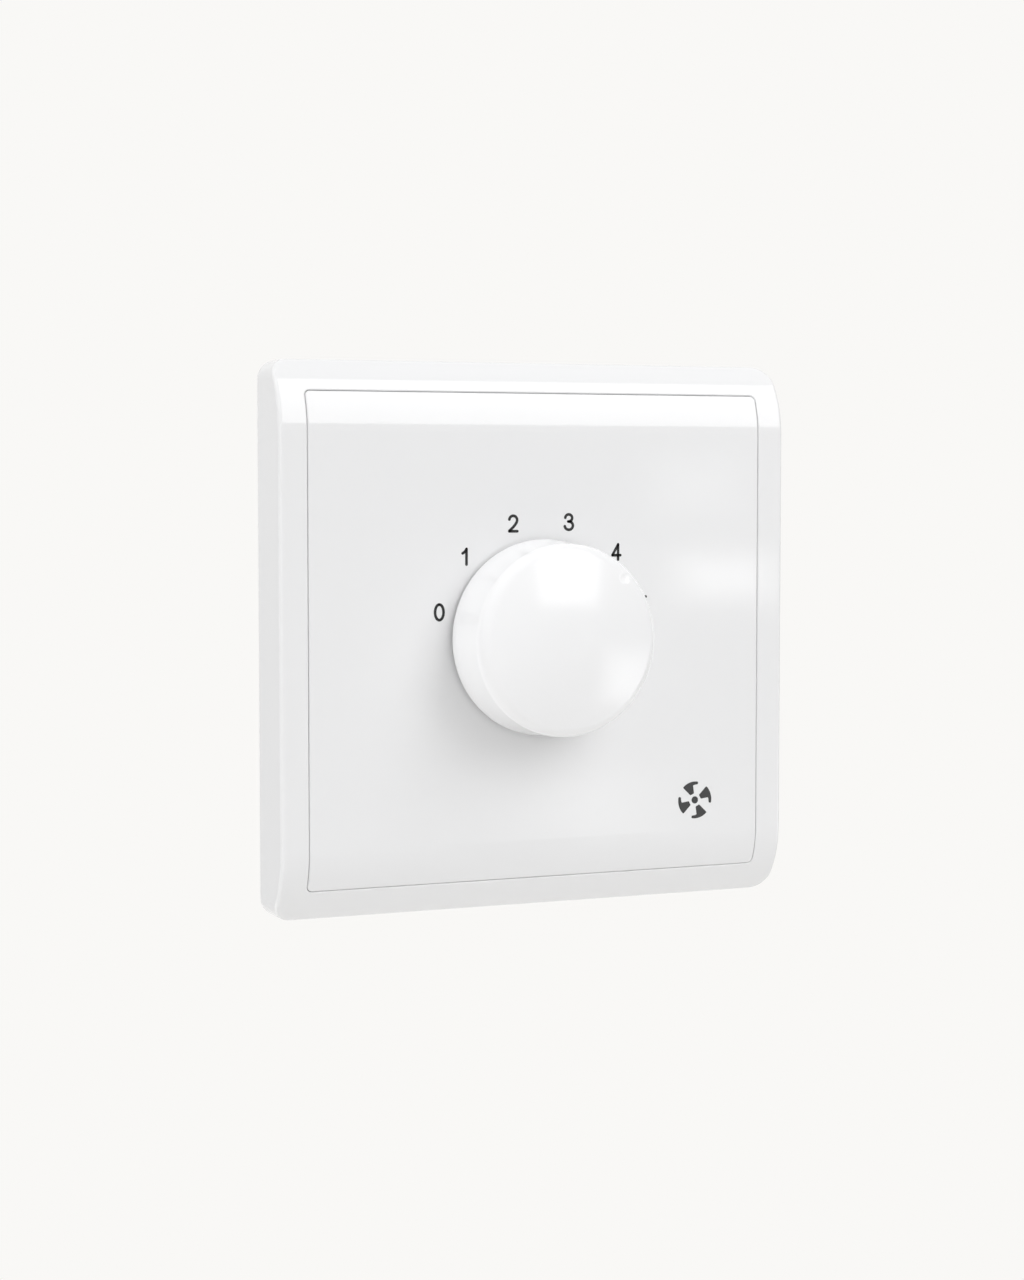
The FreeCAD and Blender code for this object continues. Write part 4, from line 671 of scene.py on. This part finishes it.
def plastic(name, rgb, roughness, mottle, smudge, grain_scale, bump):
    """Moulded plastic of a colour; mottle and smudge are how far its colour and its roughness vary."""
    group = shared_group("Moulded plastic", moulded_group)
    return surface_material(name, group, bump, Colour=opaque(rgb), Mottle=mottle, Roughness=roughness,
                            Smudge=smudge, Grain_Scale=grain_scale)


def metal(name, rgb, tarnish, roughness, line_scale, bump, spread=0.1):
    """Worked metal of a colour with stains of another; spread is how far its roughness varies."""
    group = shared_group("Worked metal", metal_group)
    material = surface_material(name, group, bump, Colour=opaque(rgb), Tarnish=opaque(tarnish),
                                Roughness=roughness, Spread=spread, Line_Scale=line_scale)
    material.node_tree.nodes["Principled BSDF"].inputs["Metallic"].default_value = 1.0
    return material


def paint_highlight_spot(material, centre, radius, rgb):
    """Lay a round spot of another colour over a material's own: on the knob, a whiter spot in the index
    dimple that is a painted highlight.
    """
    tree = material.node_tree
    base = tree.nodes["Principled BSDF"].inputs["Base Color"]
    under = base.links[0].from_socket
    spot = add_group(tree, shared_group("Painted highlight spot", spot_group), Centre=centre, Radius=radius)
    feed(tree, base, mixed_colour(tree, spot.outputs["Mask"], under, opaque(rgb)))


def dress(material, *nodes):
    """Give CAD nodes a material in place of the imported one."""
    for name in nodes:
        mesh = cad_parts[name].data
        mesh.materials.clear()
        mesh.materials.append(material)


# Operators for the pieces

def settings_of(context):
    """The part's settings in a context's scene."""
    return context.scene.fan_control


class FANCONTROL_OT_front_finish(bpy.types.Operator):
    """Finish the frame and the panel in glossy white plastic"""
    bl_idname = "fan_control.front_finish"
    bl_label = "Front Finish"

    def execute(self, context):
        finish = settings_of(context).finish
        white = plastic("front_plastic_gloss", finish.front_white, finish.front_roughness, mottle=0.006,
                        smudge=0.025, grain_scale=1400.0, bump=0.0000004)
        dress(white, "surround_frame", "face_panel")
        return {"FINISHED"}


class FANCONTROL_OT_knob(bpy.types.Operator):
    """Make the knob, in satin white plastic"""
    bl_idname = "fan_control.knob"
    bl_label = "Knob"

    def execute(self, context):
        knob, finish = settings_of(context).knob, settings_of(context).finish
        white = plastic("knob_plastic_satin", finish.knob_white, finish.knob_roughness, mottle=0.006,
                        smudge=0.03, grain_scale=2600.0, bump=0.0000008)
        points, faces = knob_surface(knob)
        # The real index dimple gets a whiter spot painted in it: a painted highlight.
        paint_highlight_spot(white, index_centre(points, knob), knob.index_radius, finish.index_painted_highlight)
        piece = new_piece("knob_cap", points, faces, white, "dial")
        shade_round(piece, SHARP_ANGLE)
        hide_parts("knob")
        return {"FINISHED"}


class FANCONTROL_OT_rear_finish(bpy.types.Operator):
    """Finish the mounting plate, the rear housing and the switch's mouldings"""
    bl_idname = "fan_control.rear_finish"
    bl_label = "Rear Finish"

    def execute(self, context):
        finish = settings_of(context).finish
        dress(plastic("plate_plastic_matt", finish.plate_white, roughness=0.5, mottle=0.02, smudge=0.06,
                      grain_scale=2200.0, bump=0.000004), "mounting_plate")
        dress(plastic("housing_plastic_matt", finish.housing_grey, roughness=0.55, mottle=0.08, smudge=0.08,
                      grain_scale=2600.0, bump=0.00001), "rear_housing")
        dress(plastic("switch_moulding", finish.switch_brown, roughness=0.42, mottle=0.15, smudge=0.08,
                      grain_scale=2000.0, bump=0.000004), "switch_base", "rotor")
        return {"FINISHED"}


class FANCONTROL_OT_metal_finish(bpy.types.Operator):
    """Finish the plated steel, cast zinc and brass pieces"""
    bl_idname = "fan_control.metal_finish"
    bl_label = "Metal Finish"

    def execute(self, context):
        finish = settings_of(context).finish
        steel = metal("plated_steel", finish.zinc, finish.steel_tarnish, roughness=0.3, line_scale=3200.0,
                      bump=0.000002)
        dress(steel, "housing_screws", "terminal_screws", "lock_washer", "bush_nut", "switch_rivets",
              "index_spring", "spindle", "circlip", "knob_clip")
        dress(metal("cast_zinc", finish.zinc, finish.zinc_tarnish, roughness=0.48, line_scale=1800.0,
                    bump=0.000006), "bush_plate")
        brass = metal("machined_brass", finish.brass, finish.brass_tarnish, roughness=0.28,
                      line_scale=3600.0, bump=0.000002)
        dress(brass, "terminal_pillar_line", "terminal_pillar_load", "fixed_contacts", "common_contact",
              "wiper")
        return {"FINISHED"}


class FANCONTROL_OT_circuit_finish(bpy.types.Operator):
    """Finish the circuit board and what is soldered to it"""
    bl_idname = "fan_control.circuit_finish"
    bl_label = "Circuit Finish"

    def execute(self, context):
        finish = settings_of(context).finish
        dress(plastic("board_laminate", finish.board_brown, roughness=0.5, mottle=0.18, smudge=0.1,
                      grain_scale=1600.0, bump=0.000006), "circuit_board")
        dress(plastic("capacitor_case", finish.capacitor_buff, roughness=0.32, mottle=0.03, smudge=0.06,
                      grain_scale=1800.0, bump=0.000003), "capacitor_upper", "capacitor_lower")
        dress(plastic("resistor_lacquer", finish.resistor_tan, roughness=0.4, mottle=0.05, smudge=0.08,
                      grain_scale=1800.0, bump=0.000004), "resistors")
        return {"FINISHED"}


class FANCONTROL_OT_dial_numbers(bpy.types.Operator):
    """Print the numbers of the scale round the knob"""
    bl_idname = "fan_control.dial_numbers"
    bl_label = "Dial Numbers"

    def execute(self, context):
        settings = settings_of(context).print_
        ink = plastic("scale_ink", settings.ink, roughness=0.45, mottle=0.2, smudge=0.08, grain_scale=6000.0,
                      bump=0.000002)
        new_piece("dial_numbers", *scale_film(settings), ink, "base")
        return {"FINISHED"}


class FANCONTROL_OT_fan_symbol(bpy.types.Operator):
    """Print the fan symbol in the panel's lower right corner"""
    bl_idname = "fan_control.fan_symbol"
    bl_label = "Fan Symbol"

    def execute(self, context):
        settings = settings_of(context).print_
        ink = plastic("symbol_ink", settings.symbol_ink, roughness=0.45, mottle=0.1, smudge=0.08,
                      grain_scale=6000.0, bump=0.000002)
        new_piece("fan_symbol", *symbol_film(settings), ink, "base")
        return {"FINISHED"}


# Stage

LAMP_POWER = 4.0
CARD_SHARES = (0.5, 0.8, 1.1, 1.4)
CARD_SPACING = 0.1
CARD_DISTANCE = 0.82
FLAG_RIM_COSINE = 0.45
FLAG_CORE_COSINE = 0.8
FLOOR_EYE = 0.001
FLOOR_RINGS = 24
FLOOR_POINTS = 96
FLOOR_ROUGHNESS = 0.9
FLOOR_MIDDLE_GLOW = 0.55
SENSOR_WIDTH = 36.0
CAMERA_CLIP_START = 0.01


def direction(azimuth, elevation):
    """Unit vector at an azimuth to the right of the plate's normal and an elevation, both in radians."""
    flat = math.cos(elevation)
    return Vector((math.sin(azimuth) * flat, -math.cos(azimuth) * flat, math.sin(elevation)))


def softbox(name, azimuth, elevation, distance, width, height, radiance, square=False, lights=True,
            shines=True):
    """An area lamp that faces the part. Azimuth is to the right of the plate's normal, in degrees.

    A lamp of a radiance L and an area A has a power of 4 L A in Blender's watts. A square lamp keeps its
    upper and lower edges parallel to the plate's. A lamp that doesn't light is a card which shows only in
    reflections, and one that doesn't shine shows in none.
    """
    lamp = bpy.data.lights.new(name, "AREA")
    lamp.shape = "RECTANGLE"
    lamp.size = width
    lamp.size_y = height
    lamp.energy = LAMP_POWER * radiance * width * height
    holder = bpy.data.objects.new(name, lamp)
    towards = direction(math.radians(azimuth), math.radians(elevation))
    facing = direction(0.0, math.radians(elevation)) if square else towards
    holder.location = towards * distance
    holder.rotation_euler = facing.to_track_quat("Z", "Y").to_euler()
    holder.visible_camera = False
    holder.visible_diffuse = lights
    holder.visible_glossy = shines
    bpy.context.scene.collection.objects.link(holder)


def soft_card(name, azimuth, elevation, width, height, radiance):
    """A card with soft edges for reflections: several that share the radiance, wider ones farther off.

    Cards in one plane would hide one another, so a card of a share s of the size stands farther off by s
    times the spacing, which is a share of the distance.
    """
    for share in CARD_SHARES:
        softbox(f"{name}_{share}", azimuth, elevation, CARD_DISTANCE * (1.0 + CARD_SPACING * share),
                width * share, height * share, radiance / len(CARD_SHARES), lights=False)


def seen_rays(tree):
    """1 for rays from the camera, from gloss and through glass, which see the background's own colour."""
    path = tree.nodes.new("ShaderNodeLightPath").outputs
    glossy = arithmetic(tree, "MAXIMUM", path["Is Glossy Ray"], path["Is Transmission Ray"])
    return arithmetic(tree, "MAXIMUM", path["Is Camera Ray"], glossy)


def make_world(settings):
    """A pale background for seen rays and an even ambient light for the rest.

    Reflections also find two dark flags beside the part. They hold back a share of the light that rises as
    the cosine between a ray and a flag's direction goes from the flag's rim to its core.
    """
    world = bpy.data.worlds.new("studio_world")
    world.use_nodes = True
    tree = world.node_tree
    ray = tree.nodes.new("ShaderNodeTexCoord").outputs["Generated"]
    cosines = [measure(tree, "DOT_PRODUCT", ray, direction(azimuth, settings.flag_elevation))
               for azimuth in (settings.left_flag, settings.right_flag)]
    share = remap(tree, arithmetic(tree, "MAXIMUM", *cosines), 0.0, 1.0, from_low=FLAG_RIM_COSINE,
                  from_high=FLAG_CORE_COSINE)
    glossy = tree.nodes.new("ShaderNodeLightPath").outputs["Is Glossy Ray"]
    held = arithmetic(tree, "MULTIPLY", share, glossy)
    dark = [settings.flag_light * value for value in settings.background]
    pale = mixed_colour(tree, held, opaque(settings.background), opaque(dark))
    light = mixed_colour(tree, seen_rays(tree), opaque([settings.ambient] * 3), pale)
    feed(tree, tree.nodes["Background"].inputs["Color"], light)
    bpy.context.scene.world = world


def make_floor(settings):
    """A round floor: rings of points r (cos a, sin a) at the floor's height."""
    turn = np.linspace(0.0, 2 * math.pi, FLOOR_POINTS + 1)[None, :-1]
    radius = np.linspace(FLOOR_EYE, settings.floor_radius, FLOOR_RINGS)[:, None]
    points = np.stack([radius * np.cos(turn), radius * np.sin(turn),
                       np.full((FLOOR_RINGS, FLOOR_POINTS), -settings.floor_drop)], axis=-1)
    faces = grid_faces(FLOOR_RINGS, FLOOR_POINTS)
    mesh = bpy.data.meshes.new("floor")
    mesh.from_pydata(points.reshape(-1, 3).tolist(), [], faces.tolist())
    mesh.materials.append(floor_material(settings))
    floor = bpy.data.objects.new("floor", mesh)
    bpy.context.scene.collection.objects.link(floor)


def floor_material(settings):
    """Pale floor that takes the part's shadow in its middle and meets the background's colour at its rim."""
    material = bpy.data.materials.new("floor_paper")
    material.use_nodes = True
    tree = material.node_tree
    lit = tree.nodes["Principled BSDF"]
    feed_inputs(tree, lit, {"Base Color": opaque(settings.background), "Roughness": FLOOR_ROUGHNESS})
    glow = add_node(tree, "ShaderNodeEmission", Color=opaque(settings.background))
    flat = (1.0 / settings.floor_radius, 1.0 / settings.floor_radius, 0.0)
    centred = add_node(tree, "ShaderNodeMapping", Vector=object_coordinates(tree), Scale=flat)
    reach = measure(tree, "LENGTH", centred.outputs["Vector"])
    seen = arithmetic(tree, "MULTIPLY", seen_rays(tree), remap(tree, reach, FLOOR_MIDDLE_GLOW, 1.0))
    blend = tree.nodes.new("ShaderNodeMixShader")
    for socket, value in zip(blend.inputs, (seen, lit.outputs["BSDF"], glow.outputs["Emission"])):
        feed(tree, socket, value)
    feed(tree, tree.nodes["Material Output"].inputs["Surface"], blend.outputs["Shader"])
    return material


def make_camera(settings):
    """The camera, turned from its place to its aim."""
    camera = bpy.data.cameras.new("camera")
    camera.lens = settings.lens
    camera.sensor_width = SENSOR_WIDTH
    camera.clip_start = CAMERA_CLIP_START
    holder = bpy.data.objects.new("camera", camera)
    holder.location = settings.camera_place
    away = Vector(settings.camera_place) - Vector(settings.camera_aim)
    holder.rotation_euler = away.to_track_quat("Z", "Y").to_euler()
    bpy.context.scene.collection.objects.link(holder)
    bpy.context.scene.camera = holder


def make_lamps():
    """The lamps that light the part, and the cards that it reflects."""
    softbox("key_softbox", azimuth=31.0, elevation=38.0, distance=1.2, width=0.69, height=1.22,
            radiance=2.36, square=True)
    softbox("left_strip", azimuth=-86.0, elevation=12.0, distance=0.8, width=0.22, height=0.9,
            radiance=3.5, shines=False)
    softbox("top_fill", azimuth=0.0, elevation=85.0, distance=0.8, width=0.9, height=0.6,
            radiance=0.4, shines=False)
    softbox("rear_fill", azimuth=165.0, elevation=5.0, distance=0.8, width=0.5, height=0.7,
            radiance=1.0, shines=False)
    soft_card("panel_glow", azimuth=29.7, elevation=-1.6, width=0.049, height=0.021, radiance=2.7)
    soft_card("upper_glow", azimuth=28.7, elevation=1.3, width=0.04, height=0.028, radiance=0.8)
    soft_card("lower_glow", azimuth=24.2, elevation=-8.9, width=0.09, height=0.034, radiance=1.0)
    soft_card("knob_glow", azimuth=52.0, elevation=-18.0, width=0.36, height=0.32, radiance=2.2)


class FANCONTROL_OT_stage(bpy.types.Operator):
    """Set up the camera, the lamps, the floor and the background"""
    bl_idname = "fan_control.stage"
    bl_label = "Stage"

    def execute(self, context):
        settings = settings_of(context).stage
        make_world(settings)
        make_floor(settings)
        make_camera(settings)
        make_lamps()
        context.scene.view_settings.view_transform = "Standard"
        return {"FINISHED"}


# Add-on

OPERATORS = (FANCONTROL_OT_front_finish, FANCONTROL_OT_knob, FANCONTROL_OT_rear_finish,
             FANCONTROL_OT_metal_finish, FANCONTROL_OT_circuit_finish, FANCONTROL_OT_dial_numbers,
             FANCONTROL_OT_fan_symbol, FANCONTROL_OT_stage)


class FANCONTROL_PT_panel(bpy.types.Panel):
    """The part's settings and operators in the sidebar"""
    bl_idname = "FANCONTROL_PT_panel"
    bl_label = "Fan Control"
    bl_space_type = "VIEW_3D"
    bl_region_type = "UI"
    bl_category = "Fan Control"

    def draw(self, context):
        settings = settings_of(context)
        for group in (settings.print_, settings.knob, settings.finish, settings.stage):
            column = self.layout.column(align=True)
            for name in group.__annotations__:
                column.prop(group, name)
        for operator in OPERATORS:
            self.layout.operator(operator.bl_idname)


CLASSES = (PrintSettings, KnobSettings, FinishSettings, StageSettings, FanControlSettings, *OPERATORS,
           FANCONTROL_PT_panel)


def register():
    for cls in CLASSES:
        bpy.utils.register_class(cls)
    bpy.types.Scene.fan_control = PointerProperty(type=FanControlSettings, name="Fan control",
                                                  description="Settings of the fan speed control")


def unregister():
    del bpy.types.Scene.fan_control
    for cls in reversed(CLASSES):
        bpy.utils.unregister_class(cls)


def main():
    """Make every piece and the stage."""
    register()
    bpy.ops.fan_control.front_finish()
    bpy.ops.fan_control.knob()
    bpy.ops.fan_control.rear_finish()
    bpy.ops.fan_control.metal_finish()
    bpy.ops.fan_control.circuit_finish()
    bpy.ops.fan_control.dial_numbers()
    bpy.ops.fan_control.fan_symbol()
    bpy.ops.fan_control.stage()


if __name__ == "__main__":
    main()
